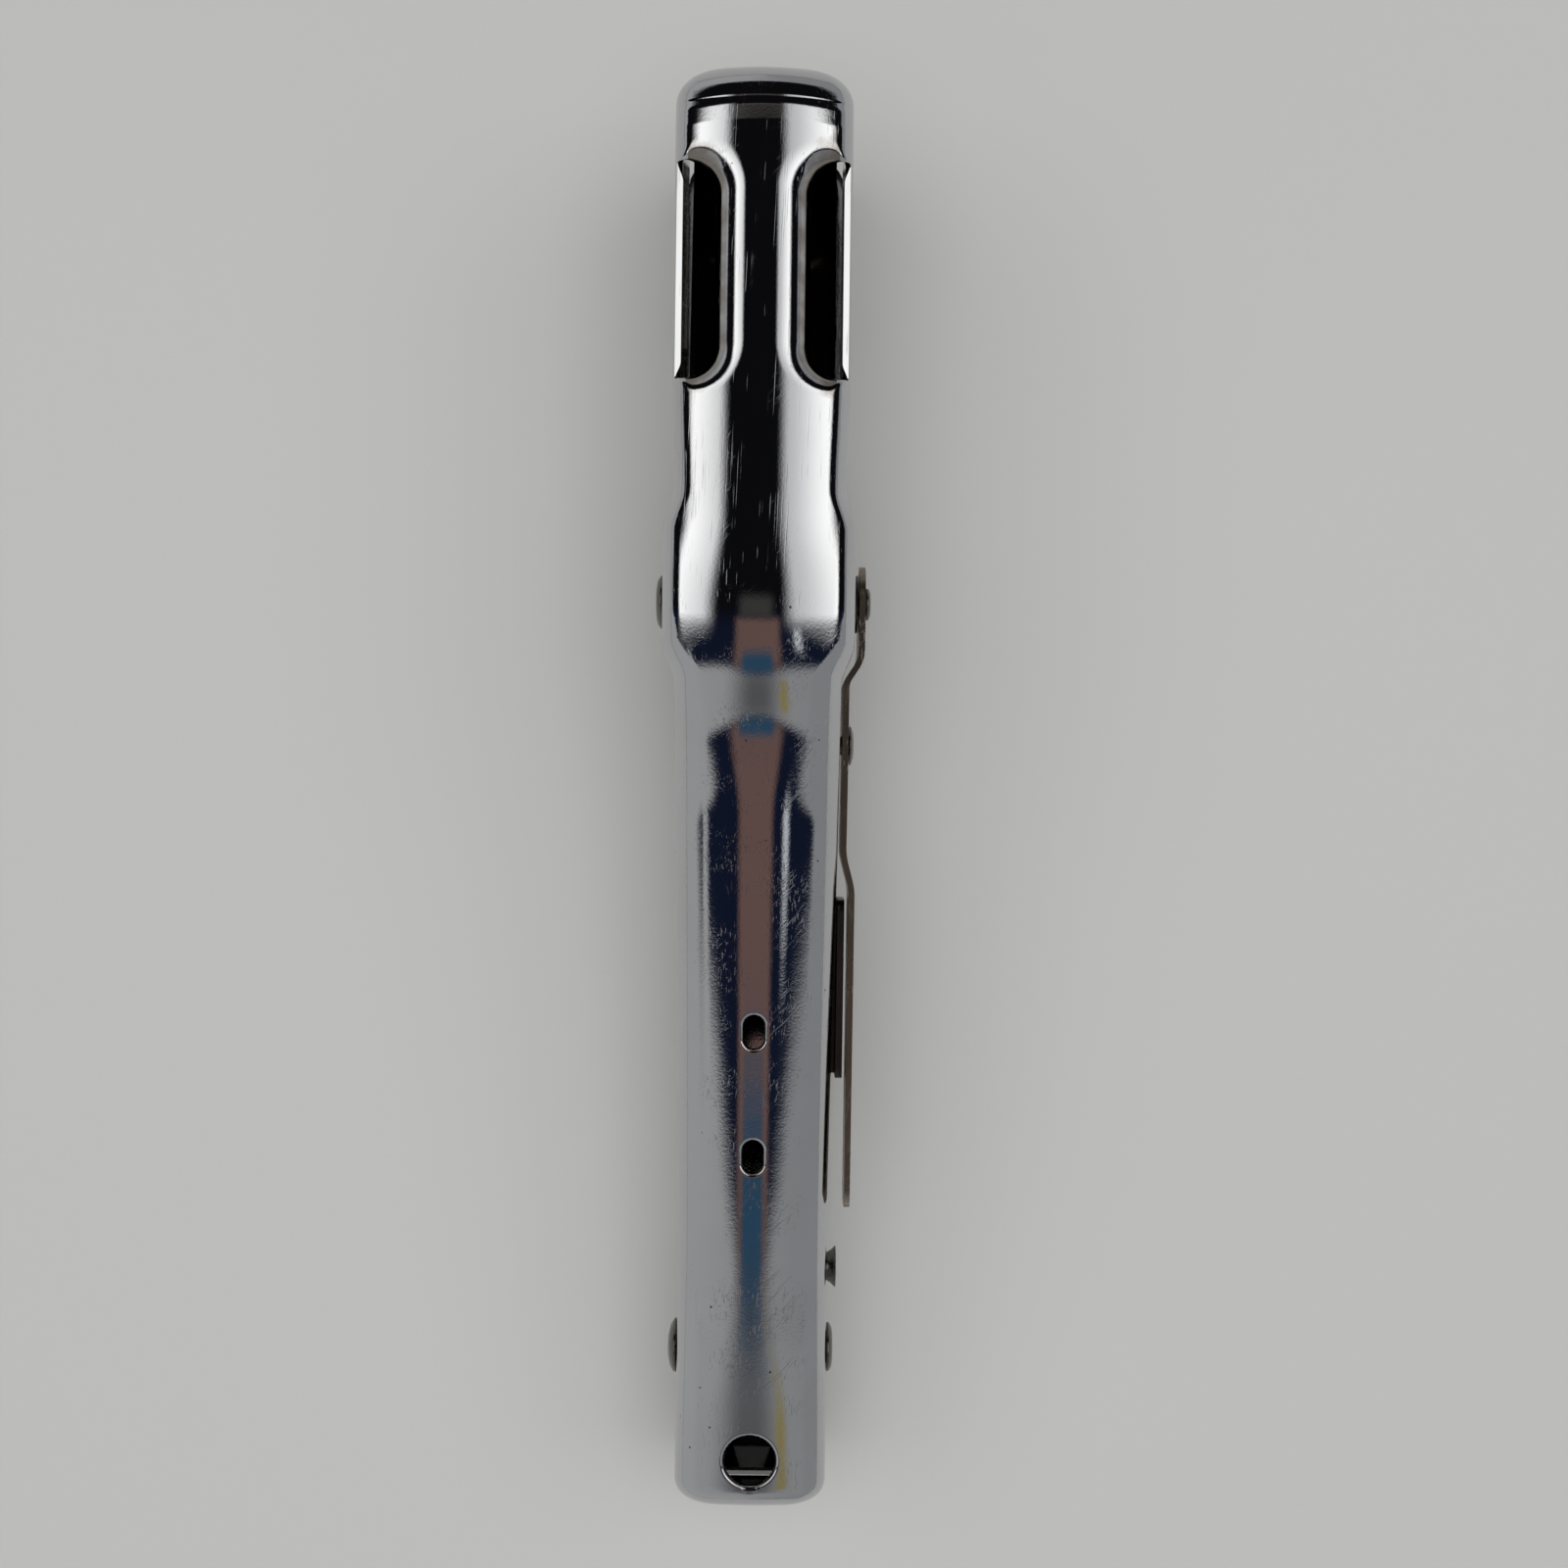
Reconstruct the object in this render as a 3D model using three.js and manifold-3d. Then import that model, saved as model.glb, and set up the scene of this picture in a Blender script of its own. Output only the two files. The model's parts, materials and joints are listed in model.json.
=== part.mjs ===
// A chrome-plated plier stapler, closed and latched, standing on its underside.
//
// Millimetres. +Y points to the nose, +Z up, X = 0 is the middle plane, Z = 0 is the surface it
// stands on, and Y = 0 is half way along. The drawn top shell, the lower jaw and its two arms are
// one rigid frame. The lower handle and the driver hood are one lever that crosses them at the
// main pivot pin, and the staple magazine hangs on the same pin between the lever's plates.
import * as THREE from 'three';
import { mergeVertices } from 'three/addons/utils/BufferGeometryUtils.js';
import Module from 'manifold-3d';

const wasm = await Module();
wasm.setup();

// ---------------------------------------------------------------- driving dimensions

// Whole tool.
const LENGTH = 178;
const HEAD_WIDTH = 21;
const HEAD_TOP = 42;

// Sheet thicknesses, and the gaps between nested and between stacked pieces.
const SHELL_SHEET = 0.8;
const FRAME_SHEET = 0.9;
const LEVER_SHEET = 1.0;
const MAGAZINE_SHEET = 0.8;
const STRIP_SHEET = 0.75;
const NEST_GAP = 0.3;
const SEAT_GAP = 0.15;
const HOOD_GAP = 0.7;

// Places along the tool.
const PIVOT_FROM_NOSE = 63.2;
const PIVOT_HEIGHT = 27;
const TAIL_RIVET_FROM_TAIL = 19.7;
const SPRING_ANCHOR_FROM_TAIL = 30.3;
const HANG_HOLE_FROM_TAIL = 6.8;
const SLOTS_FROM_TAIL = [61.8, 46.1];

// Outline of the shell seen from above: steps in half width from the head's.
const BULGE_STEP = 1.1;
const NECK_STEP = -0.15;
const HANDLE_STEP = -0.4;
const WAIST_STEP = -1.1;
const TAIL_STEP = -0.85;
const BULGE_AHEAD = 7.5;
const BULGE_BEHIND = 5.5;
const BULGE_RAMP = 5;
const HANDLE_FRONT_BEHIND_PIVOT = 17.8;
const WAIST_FROM_TAIL = 30;
const NOSE_CORNER = 4.5;
const NOSE_ARC = 5.2;
const NOSE_BEND = 3;
const NOSE_FLAT = 5.8;
const NOSE_SLOPE = 0.07;
const TAIL_RADIUS = 3.4;

// Profile of the shell seen from the side.
const SADDLE_DROP = 7;
const SADDLE_START = 6;
const SADDLE_END = 16.8;
const HANDLE_SLOPE = 0.115;
const HEAD_SKIRT = 24;
const SKIRT_EVEN_AHEAD = 19.5;
const BULGE_SKIRT = 26.5;
const HANDLE_DEPTH = 14.5;
const TAIL_DEPTH = 11.5;

// Crown of the shell: shoulder radius, and fall from the middle to the top of the side wall, at the
// head, the saddle and the tail; the bulge falls further by its own amount.
const HEAD_SHOULDER = 4;
const SADDLE_SHOULDER = 6.5;
const TAIL_SHOULDER = 3.6;
const HEAD_CROWN_FALL = 5.6;
const SADDLE_CROWN_FALL = 7.4;
const TAIL_CROWN_FALL = 4.04;
const BULGE_CROWN_FALL = 0.6;

// Windows, slots and hanging hole.
const WINDOW_FROM_NOSE = 11.7;
const WINDOW_LENGTH = 25.9;
const WINDOW_WEB = 11.4;
const WINDOW_CORNER = 3.6;
const WINDOW_DEPTH = 4.3;
const LIP_DEPTH = 2.5;
const SLOT_WIDTH = 2.5;
const SLOT_LENGTH = 4.1;
const HANG_HOLE_DIAMETER = 6.5;

// Pins and rivets.
const PIN_DIAMETER = 5;
const PIN_END_DIAMETER = 3.1;
const PIN_HEAD_DIAMETER = 6.7;
const PIN_HEAD_THICKNESS = 1.1;
const PIN_PEEN_DIAMETER = 3.9;
const PIN_PEEN_THICKNESS = 0.6;
const TAIL_RIVET_DIAMETER = 3.8;
const TAIL_RIVET_HEADS = [6.8, 6.2];
const TAIL_RIVET_THICKNESSES = [1.15, 0.8];
const ANCHOR_DIAMETER = 3.6;
const ANCHOR_FLARE_DIAMETER = 5.4;
const ANCHOR_FLARE_LENGTH = 1.15;
const SMALL_RIVET_DIAMETER = 2.4;
const SMALL_HEAD_DIAMETER = 4.2;
const SMALL_HEAD_THICKNESS = 0.6;
const STRIP_HEAD_DIAMETER = 5;
const HOLE_GAP = 0.12;

// Lower jaw.
const JAW_FROM_NOSE = 1.5;
const JAW_HEIGHT = 8.4;
const JAW_CORNER = 4.5;
const JAW_FLAT_LENGTH = 33;
const JAW_WEB_END_AHEAD = 14.7;
const EAR_RADIUS = 6.7;
const ARM_CLEAR_OF_LEVER = 4.6;
const ARM_BEHIND_TAIL_RIVET = 6;
const ARM_OVER_LEVER = 39.5;
const ARM_ABOVE_EDGE = 1.5;
const JAW_BEND = 1.5;
const NECK_SWEEP = 12;
const NECK_ROOT_AHEAD = 22.7;
const ANVIL_PROUD = 1.5;
const ANVIL_LENGTH = 25;
const ANVIL_SHEET = 1.2;
const GROOVE_WIDTH = 1.5;
const GROOVE_DEPTH = 0.7;
const GROOVE_LENGTH = 4.6;
const ANVIL_RIVET_FROM_FRONT = 21;
const LIFT_RIVET_FROM_FRONT = 29.5;
const LIFT_SPRING_SHEET = 0.5;
const LIFT_SPRING_HALF = 4;
const LIFT_SPRING_FOOT = 4.8;
const LIFT_SPRING_REACH = 16;

// Lever: the opening angle, and the parts of its side view.
const OPENING_DEGREES = 11;
const HOOD_STOP_DEGREES = 1;
const HANDLE_GAP = 0.8;
const HOOD_SKIRT = 19.5;
const HOOD_AHEAD_OF_BULGE = 0.7;
const HOOD_FRONT_ANGLE = 0.4;
const LEVER_BEND = 1.6;
const HANDLE_FLAT_LENGTH = 27;
const HANDLE_RISE = 8.2;
const NOTCH_WIDTH = 5.2;
const NOTCH_LENGTH = 7.6;
const LEVER_WEB_END = 17.8;

// Driver and magazine. Both follow arcs about the pivot.
const DRIVER_FROM_NOSE = 3.2;
const DRIVER_SHEET = 0.5;
const DRIVER_GAP = 0.3;
const DRIVER_RIVET_DIAMETER = 1.8;
const DRIVER_RIVET_BELOW_PIVOT = 4;
const DRIVER_TOP_BELOW_PIVOT = 2;
const DRIVER_TIP_ABOVE_MAGAZINE_FLOOR = 0.2;
const MAGAZINE_PLAY = 0.8;
const MAGAZINE_LIFT = 0.5;
const MAGAZINE_WALL_HEIGHT = 8.6;
const MAGAZINE_REAR = 37.8;
const MAGAZINE_EAR_RADIUS = 5.4;
const MAGAZINE_EAR_SPREAD = 16;
const MAGAZINE_MOUTH = 8;
const CORE_GAP = 1;
const CORE_SHEET = 0.8;
const CORE_HEIGHT = 5.6;
const CORE_SLOT_WIDTH = 2.4;
const PLUG_LENGTH = 3.5;
const FOLLOWER_BLOCK = 3;
const ROD_DIAMETER = 2;
const FOLLOWER_LENGTH = 14;
const FOLLOWER_SHEET = 0.45;
const FOLLOWER_SPRING_RADIUS = 1.75;
const FOLLOWER_SPRING_WIRE = 0.5;
const FOLLOWER_SPRING_TURNS = 16;

// Strip on the right side.
const STRIP_AHEAD = 4.6;
const STRIP_BEND_BEHIND = 30.3;
const STRIP_LENGTH = 80.6;
const STRIP_RIVET_BEHIND = 17.6;
const STRIP_HEIGHTS = [9.2, 7];
const STRIP_SLOPE = 0.08;
const STRIP_SHELL_GAP = 0.35;
const WASHER_THICKNESS = 0.4;
const WASHER_DIAMETER = 7.2;
const EAR_PLATE_SHEET = 0.85;
const EAR_PLATE_LENGTH = 23;
const EAR_PLATE_START_BEHIND = 37;
const EAR_PLATE_RISE = 5.5;
const EAR_PLATE_DROP = 6;
const EAR_RIVET_FROM_END = 5;
const EAR_RIVET_BELOW_EDGE = 3.4;

// Handle spring.
const COIL_RADIUS = 3.5;
const SPRING_WIRE = 1.4;
const COIL_TURNS = 3;
const UPPER_LEG_REACH = 17;
const LOWER_LEG_REACH = 33;

// ---------------------------------------------------------------- places and widths that follow

const NOSE_Y = LENGTH / 2;
const TAIL_Y = -LENGTH / 2;
const PIVOT = { y: NOSE_Y - PIVOT_FROM_NOSE, z: PIVOT_HEIGHT };
const TAIL_RIVET_Y = TAIL_Y + TAIL_RIVET_FROM_TAIL;
const ANCHOR_Y = TAIL_Y + SPRING_ANCHOR_FROM_TAIL;
const STRIP_RIVET_Y = PIVOT.y - STRIP_RIVET_BEHIND;
const DRIVER_RADIUS = PIVOT_FROM_NOSE - DRIVER_FROM_NOSE;

const HEAD_HALF = HEAD_WIDTH / 2;
const BULGE_HALF = HEAD_HALF + BULGE_STEP;
const FRAME_HALF = BULGE_HALF - SHELL_SHEET - NEST_GAP;
const HOOD_INSET = SHELL_SHEET + HOOD_GAP;
const LEVER_HALF = HEAD_HALF - HOOD_INSET;
const LEVER_INNER = LEVER_HALF - LEVER_SHEET;
const MAGAZINE_HALF = LEVER_INNER - MAGAZINE_PLAY;
const MAGAZINE_INNER = MAGAZINE_HALF - MAGAZINE_SHEET;
const CORE_HALF = MAGAZINE_INNER - CORE_GAP;
const ANVIL_TOP = JAW_HEIGHT + ANVIL_PROUD;
const MAGAZINE_BOTTOM = ANVIL_TOP + MAGAZINE_LIFT;
const CORE_BOTTOM = MAGAZINE_BOTTOM + MAGAZINE_SHEET + SEAT_GAP;
const JAW_FRONT = NOSE_Y - JAW_FROM_NOSE;

const clamp01 = (value) => Math.min(1, Math.max(0, value));
const mix = (from, to, share) => from + (to - from) * share;
const smooth = (from, to, at) => {
  const share = clamp01((at - from) / (to - from));
  return share * share * (3 - 2 * share);
};

// ---------------------------------------------------------------- turning shapes into solids

// A closed three.js geometry as a solid that can be joined and cut.
function solid(geometry) {
  const bare = geometry.clone();
  bare.deleteAttribute('normal');
  bare.deleteAttribute('uv');
  const merged = mergeVertices(bare, 1e-4);
  const index = merged.index.array;
  const triangles = [];
  for (let i = 0; i < index.length; i += 3) {
    const [a, b, c] = [index[i], index[i + 1], index[i + 2]];
    if (a !== b && b !== c && c !== a) triangles.push(a, b, c);
  }
  return new wasm.Manifold(new wasm.Mesh({
    numProp: 3,
    vertProperties: new Float32Array(merged.attributes.position.array),
    triVerts: new Uint32Array(triangles),
  }));
}

const join = (first, ...others) => others.reduce((sum, other) => sum.add(other), first);
const cut = (first, ...others) => others.reduce((rest, other) => rest.subtract(other), first);

// An outline from a start point and steps: [y, z] is a line, [cy, cz, y, z] a curve pulled towards
// (cy, cz). A point half way along a straight run is dropped.
function outline(start, ...steps) {
  const shape = new THREE.Shape();
  shape.moveTo(...start);
  let before = start;
  steps.forEach((step, i) => {
    const end = step.slice(-2);
    const after = steps[i + 1] ?? start;
    if (step.length === 4) {
      shape.quadraticCurveTo(...step);
    } else {
      const turn = (end[0] - before[0]) * (after[1] - end[1]) - (end[1] - before[1]) * (after[0] - end[0]);
      if (after.length === 2 && Math.abs(turn) < 1e-6) return;
      shape.lineTo(...step);
    }
    before = end;
  });
  return shape;
}

// Points [y, z] along a curve given as a height at each y.
function along(from, to, steps, heightAt) {
  const points = [];
  for (let i = 0; i <= steps; i += 1) {
    const y = mix(from, to, i / steps);
    points.push([y, heightAt(y)]);
  }
  return points;
}

const rectangle = (left, bottom, right, top) =>
  outline([left, bottom], [right, bottom], [right, top], [left, top]);

function circle(x, y, radius) {
  const shape = new THREE.Shape();
  shape.absarc(x, y, radius, 0, 2 * Math.PI, false);
  return shape;
}

// The outline is drawn in (Y, Z) and becomes a plate between two values of X.
const SIDE_VIEW = new THREE.Matrix4().makeBasis(
  new THREE.Vector3(0, 1, 0), new THREE.Vector3(0, 0, 1), new THREE.Vector3(1, 0, 0));

function plate(shape, fromX, toX, bend = 0) {
  const options = { depth: toX - fromX - 2 * bend, curveSegments: 8, bevelEnabled: bend > 0 };
  if (bend > 0) {
    Object.assign(options, { bevelSize: bend, bevelThickness: bend, bevelOffset: -bend, bevelSegments: 3 });
  }
  const geometry = new THREE.ExtrudeGeometry(shape, options);
  return solid(geometry.translate(0, 0, fromX + bend).applyMatrix4(SIDE_VIEW));
}

// The outline is drawn in (X, Y) and stands between two heights.
function prism(shape, fromZ, toZ) {
  const geometry = new THREE.ExtrudeGeometry(
    shape, { depth: toZ - fromZ, curveSegments: 8, bevelEnabled: false });
  return solid(geometry.translate(0, 0, fromZ));
}

// A piece turned about X, through (y, z). The profile is [x, radius] pairs.
function turned(profile, y, z, segments = 20) {
  const points = profile.map(([x, radius]) => new THREE.Vector2(radius, x));
  const geometry = new THREE.LatheGeometry(points, segments);
  return solid(geometry.rotateZ(-Math.PI / 2).translate(0, y, z));
}

const bar = (radius, fromX, toX, y, z, segments = 20) =>
  turned([[fromX, 0], [fromX, radius], [toX, radius], [toX, 0]], y, z, segments);

// A hole for a shank of this diameter, through both walls or from the middle through the right one.
const THROUGH = 20;
const crossHole = (diameter, y, z, fromX = -THROUGH) => bar(diameter / 2 + HOLE_GAP, fromX, THROUGH, y, z);

const ring = (inner, outer, fromX, toX, y, z) =>
  turned([[fromX, inner], [fromX, outer], [toX, outer], [toX, inner], [fromX, inner]], y, z);

// A skin over closed rings of points, one ring at each place along Y.
function loft(ringAt, stations) {
  const rings = stations.map(ringAt);
  const count = rings[0].length;
  const positions = [];
  rings.forEach((points, i) => points.forEach(([x, z]) => positions.push(x, stations[i], z)));
  const faces = [];
  for (let i = 0; i + 1 < rings.length; i += 1) {
    for (let j = 0; j < count; j += 1) {
      const next = (j + 1) % count;
      const [a, b] = [i * count + j, i * count + next];
      const [c, d] = [a + count, b + count];
      faces.push(a, b, d, a, d, c);
    }
  }
  const last = (rings.length - 1) * count;
  for (let j = 1; j + 1 < count; j += 1) {
    faces.push(0, j + 1, j);
    faces.push(last, last + j, last + j + 1);
  }
  const geometry = new THREE.BufferGeometry();
  geometry.setAttribute('position', new THREE.Float32BufferAttribute(positions, 3));
  geometry.setIndex(faces);
  return solid(geometry);
}

// ---------------------------------------------------------------- form of the drawn shell

// Half width of the shell's outside, seen from above.
function shellHalf(y) {
  const handleFront = PIVOT.y - HANDLE_FRONT_BEHIND_PIVOT;
  const waist = TAIL_Y + WAIST_FROM_TAIL;
  const bulgeRear = PIVOT.y - BULGE_BEHIND;
  const bulgeFront = PIVOT.y + BULGE_AHEAD;
  let step = mix(TAIL_STEP, WAIST_STEP, smooth(TAIL_Y + TAIL_RADIUS, waist, y));
  step = mix(step, HANDLE_STEP, smooth(waist, handleFront, y));
  step = mix(step, BULGE_STEP, smooth(bulgeRear - BULGE_RAMP, bulgeRear, y));
  step = mix(step, NECK_STEP, smooth(bulgeFront, bulgeFront + BULGE_RAMP, y));
  step = mix(step, 0, smooth(bulgeFront + BULGE_RAMP, NOSE_Y - WINDOW_FROM_NOSE - WINDOW_LENGTH, y));
  return HEAD_HALF + step;
}

// How much of the bulge there is: 1 beside the pivot, 0 ahead of it and behind it.
function bulgeShare(y) {
  const rear = PIVOT.y - BULGE_BEHIND;
  const front = PIVOT.y + BULGE_AHEAD;
  return smooth(rear - BULGE_RAMP, rear, y) * (1 - smooth(front, front + BULGE_RAMP, y));
}

// Height of the shell's outside on the middle plane.
function shellTop(y) {
  const saddleRear = PIVOT.y - SADDLE_END;
  const handle = HEAD_TOP - SADDLE_DROP + (y - saddleRear) * HANDLE_SLOPE;
  return mix(handle, HEAD_TOP, smooth(saddleRear, PIVOT.y - SADDLE_START, y));
}

// Height of the shell's lower edge.
function shellBottom(y) {
  const saddleRear = PIVOT.y - SADDLE_END;
  const handleTop = HEAD_TOP - SADDLE_DROP + (y - saddleRear) * HANDLE_SLOPE;
  const depth = mix(TAIL_DEPTH, HANDLE_DEPTH, clamp01((y - TAIL_Y) / (saddleRear - TAIL_Y)));
  const bulge = HEAD_TOP - BULGE_SKIRT;
  const behind = mix(handleTop - depth, bulge, smooth(saddleRear, PIVOT.y - BULGE_BEHIND, y));
  return mix(behind, HEAD_TOP - HEAD_SKIRT, smooth(PIVOT.y + BULGE_AHEAD, PIVOT.y + SKIRT_EVEN_AHEAD, y));
}

// One value at the head, one at the saddle and one at the tail, passing smoothly between them.
function alongShell(head, saddle, tail, y) {
  const behind = mix(tail, saddle, smooth(TAIL_Y + HANG_HOLE_FROM_TAIL, PIVOT.y - SADDLE_END, y));
  return mix(behind, head, smooth(PIVOT.y - SADDLE_END, PIVOT.y, y));
}

// How far a rounded end draws the outline in, a distance short of that end.
function endRounding(radius, distance) {
  if (distance >= radius) return 0;
  return radius - Math.sqrt(Math.max(0, radius ** 2 - (radius - distance) ** 2));
}

// How far the top has come down, a distance short of the nose: level, then a slight slope, then a
// bend into the arc that turns down into the front wall.
function noseFall(inset, distance) {
  const arc = NOSE_ARC - inset;
  const bend = NOSE_BEND - inset * 0.75;
  const flat = NOSE_FLAT - inset * 0.9;
  const heightAt = (d) => Math.sqrt(Math.max(0, arc ** 2 - (arc - Math.min(d, arc)) ** 2));
  const level = heightAt(bend) + NOSE_SLOPE * (flat - bend);
  if (distance >= flat) return 0;
  if (distance >= bend) return NOSE_SLOPE * (flat - distance);
  return level - heightAt(distance);
}

// The shell's cross-section, or one that lies a stated distance inside it. Its crown is one arc and
// each shoulder another, tangent to it and to the side wall.
function section(y, inset) {
  const tailCut = endRounding(TAIL_RADIUS - inset, y - TAIL_Y - inset);
  const cornerCut = endRounding(NOSE_CORNER - inset, NOSE_Y - inset - y);
  const shoulder = alongShell(HEAD_SHOULDER, SADDLE_SHOULDER, TAIL_SHOULDER, y);
  const fall = alongShell(HEAD_CROWN_FALL, SADDLE_CROWN_FALL, TAIL_CROWN_FALL, y)
    + BULGE_CROWN_FALL * bulgeShare(y);
  const reach = shellHalf(y) - shoulder;
  const rise = fall - shoulder;
  const crown = shoulder + (reach ** 2 + rise ** 2) / (2 * rise) - inset;
  const half = shellHalf(y) - inset - cornerCut - tailCut;
  const top = shellTop(y) - inset - noseFall(inset, NOSE_Y - inset - y) - tailCut;
  const tilt = Math.asin((half - shoulder + inset) / (crown - shoulder + inset));
  return { half, top, shoulder: shoulder - inset, crown, tilt };
}

// Height at which the side wall turns into the shoulder.
function wallTop(y, inset) {
  const { top, shoulder, crown, tilt } = section(y, inset);
  return top - crown + (crown - shoulder) * Math.cos(tilt);
}

const SHOULDER_STEPS = 4;
const CROWN_STEPS = 4;

// The cross-section as points, closed along its bottom.
function sectionRing(y, inset, bottom) {
  const { half, top, shoulder, crown, tilt } = section(y, inset);
  const right = [];
  for (let i = 1; i <= CROWN_STEPS / 2; i += 1) {
    const angle = tilt * i * 2 / CROWN_STEPS;
    right.push([crown * Math.sin(angle), top - crown + crown * Math.cos(angle)]);
  }
  for (let i = 1; i <= SHOULDER_STEPS; i += 1) {
    const angle = mix(tilt, Math.PI / 2, i / SHOULDER_STEPS);
    const centre = (crown - shoulder) * Math.sin(tilt);
    right.push([centre + shoulder * Math.sin(angle), wallTop(y, inset) + shoulder * Math.cos(angle)]);
  }
  right.push([half, bottom]);
  const left = right.map(([x, z]) => [-x, z]).reverse();
  return [...left, [0, top], ...right];
}

const END_STEPS = 5;

// Places along Y that the form needs: close together where it turns.
function stations(inset, from, to) {
  const places = [];
  for (let i = 0; i <= END_STEPS; i += 1) {
    const turn = 1 - Math.sin(i / END_STEPS * Math.PI / 2);
    places.push(NOSE_Y - inset - (NOSE_BEND - inset * 0.75) * turn);
    places.push(TAIL_Y + inset + (TAIL_RADIUS - inset) * turn);
  }
  places.push(NOSE_Y - NOSE_CORNER, NOSE_Y - NOSE_FLAT);
  const evenly = (start, end, steps) => {
    for (let i = 0; i <= steps; i += 1) places.push(mix(start, end, i / steps));
  };
  evenly(PIVOT.y + BULGE_AHEAD, PIVOT.y + BULGE_AHEAD + BULGE_RAMP, 3);
  evenly(PIVOT.y - BULGE_BEHIND - BULGE_RAMP, PIVOT.y - BULGE_BEHIND, 3);
  evenly(PIVOT.y - SADDLE_END, PIVOT.y - SADDLE_START, 6);
  evenly(PIVOT.y + BULGE_AHEAD, PIVOT.y + SKIRT_EVEN_AHEAD, 4);
  evenly(TAIL_Y + WAIST_FROM_TAIL, PIVOT.y - SADDLE_END, 5);
  evenly(TAIL_Y + TAIL_RADIUS, TAIL_Y + WAIST_FROM_TAIL, 3);
  const inside = places.filter((y) => y > from + 0.3 && y < to - 0.3);
  const sorted = [from, ...inside.sort((a, b) => a - b), to];
  return sorted.filter((y, i) => i === 0 || y - sorted[i - 1] > 0.2 || i === sorted.length - 1);
}

// The drawn form, filled, down to a stated height below its own edge.
function drawnForm(inset, from, to, bottomAt) {
  return loft((y) => sectionRing(y, inset, bottomAt(y)), stations(inset, from, to));
}

// A block in plan with the nose's rounded corners, as wide as halfAt says.
function planBlock(halfAt, front, corner, fromZ, toZ, rear = TAIL_Y) {
  const right = stations(0, rear, front - corner).map((y) => [halfAt(y), y]);
  for (let i = 1; i <= END_STEPS; i += 1) {
    const angle = i / END_STEPS * Math.PI / 2;
    right.push([halfAt(front) - corner * (1 - Math.cos(angle)), front - corner * (1 - Math.sin(angle))]);
  }
  const left = right.map(([x, y]) => [-x, y]).reverse();
  return prism(outline(right[0], ...right.slice(1), ...left), fromZ, toZ);
}

// ---------------------------------------------------------------- pieces

const object = new THREE.Group();

const CHROME = [0xd4d6d8, 0.12, 1];
const STEEL = [0x8f8c86, 0.35, 1];
const DARK_STEEL = [0x55524e, 0.4, 1];
const SPRING_STEEL = [0x7d7264, 0.4, 1];

// Corners that a cut left closer together than this become one.
const WELD = 0.003;

function addPiece(name, piece, [color, roughness, metalness]) {
  const { vertProperties, triVerts } = piece.simplify(WELD).getMesh();
  const geometry = new THREE.BufferGeometry();
  geometry.setAttribute('position', new THREE.BufferAttribute(new Float32Array(vertProperties), 3));
  geometry.setIndex(new THREE.BufferAttribute(new Uint32Array(triVerts), 1));
  geometry.computeVertexNormals();
  const material = new THREE.MeshStandardMaterial({ color, roughness, metalness });
  const mesh = new THREE.Mesh(geometry, material);
  mesh.name = name;
  object.add(mesh);
}

const middleOfWall = (y) => (shellBottom(y) + wallTop(y, 0)) / 2 + 0.5;
const armOuter = (y) => Math.min(FRAME_HALF, shellHalf(y) - SHELL_SHEET - NEST_GAP);
const frameOuter = (y) => (y > PIVOT.y ? FRAME_HALF : armOuter(y));

// Centre height of the strip, its inner face, and its height.
const stripCentre = (y) => PIVOT.z + (y - PIVOT.y) * STRIP_SLOPE;
const STRIP_BEND_Y = PIVOT.y - STRIP_BEND_BEHIND;
const STRIP_END_Y = PIVOT.y + STRIP_AHEAD - STRIP_LENGTH;
const WASHER_X = BULGE_HALF + SEAT_GAP;
const STRIP_ON_PIN_X = WASHER_X + WASHER_THICKNESS + SEAT_GAP;

function stripInner(y) {
  const besideShell = shellHalf(y) + STRIP_SHELL_GAP;
  const overEar = shellHalf(STRIP_BEND_Y) + NEST_GAP + EAR_PLATE_SHEET + NEST_GAP;
  const rearOfBulge = PIVOT.y - BULGE_BEHIND;
  const blade = mix(overEar, besideShell, smooth(STRIP_BEND_Y - 6, STRIP_BEND_Y, y));
  return mix(blade, STRIP_ON_PIN_X, smooth(rearOfBulge - BULGE_RAMP, rearOfBulge, y));
}

// The drawn shell.
function windowOutline(side, inset) {
  const near = WINDOW_WEB / 2 + inset;
  const far = BULGE_HALF + 3;
  const front = NOSE_Y - WINDOW_FROM_NOSE - inset;
  const rear = front - WINDOW_LENGTH + 2 * inset;
  const corner = WINDOW_CORNER - inset;
  const points = [[far, rear], [near + corner * 1.6, rear]];
  const shape = new THREE.Shape();
  shape.moveTo(side * points[0][0], points[0][1]);
  shape.lineTo(side * points[1][0], points[1][1]);
  shape.quadraticCurveTo(side * near, rear, side * near, rear + corner * 1.3);
  shape.lineTo(side * near, front - corner * 1.3);
  shape.quadraticCurveTo(side * near, front, side * (near + corner * 1.6), front);
  shape.lineTo(side * far, front);
  return shape;
}

function obround(y, width, length) {
  const shape = new THREE.Shape();
  const straight = (length - width) / 2;
  shape.absarc(0, y + straight, width / 2, 0, Math.PI, false);
  shape.absarc(0, y - straight, width / 2, Math.PI, 2 * Math.PI, false);
  return shape;
}

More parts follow.
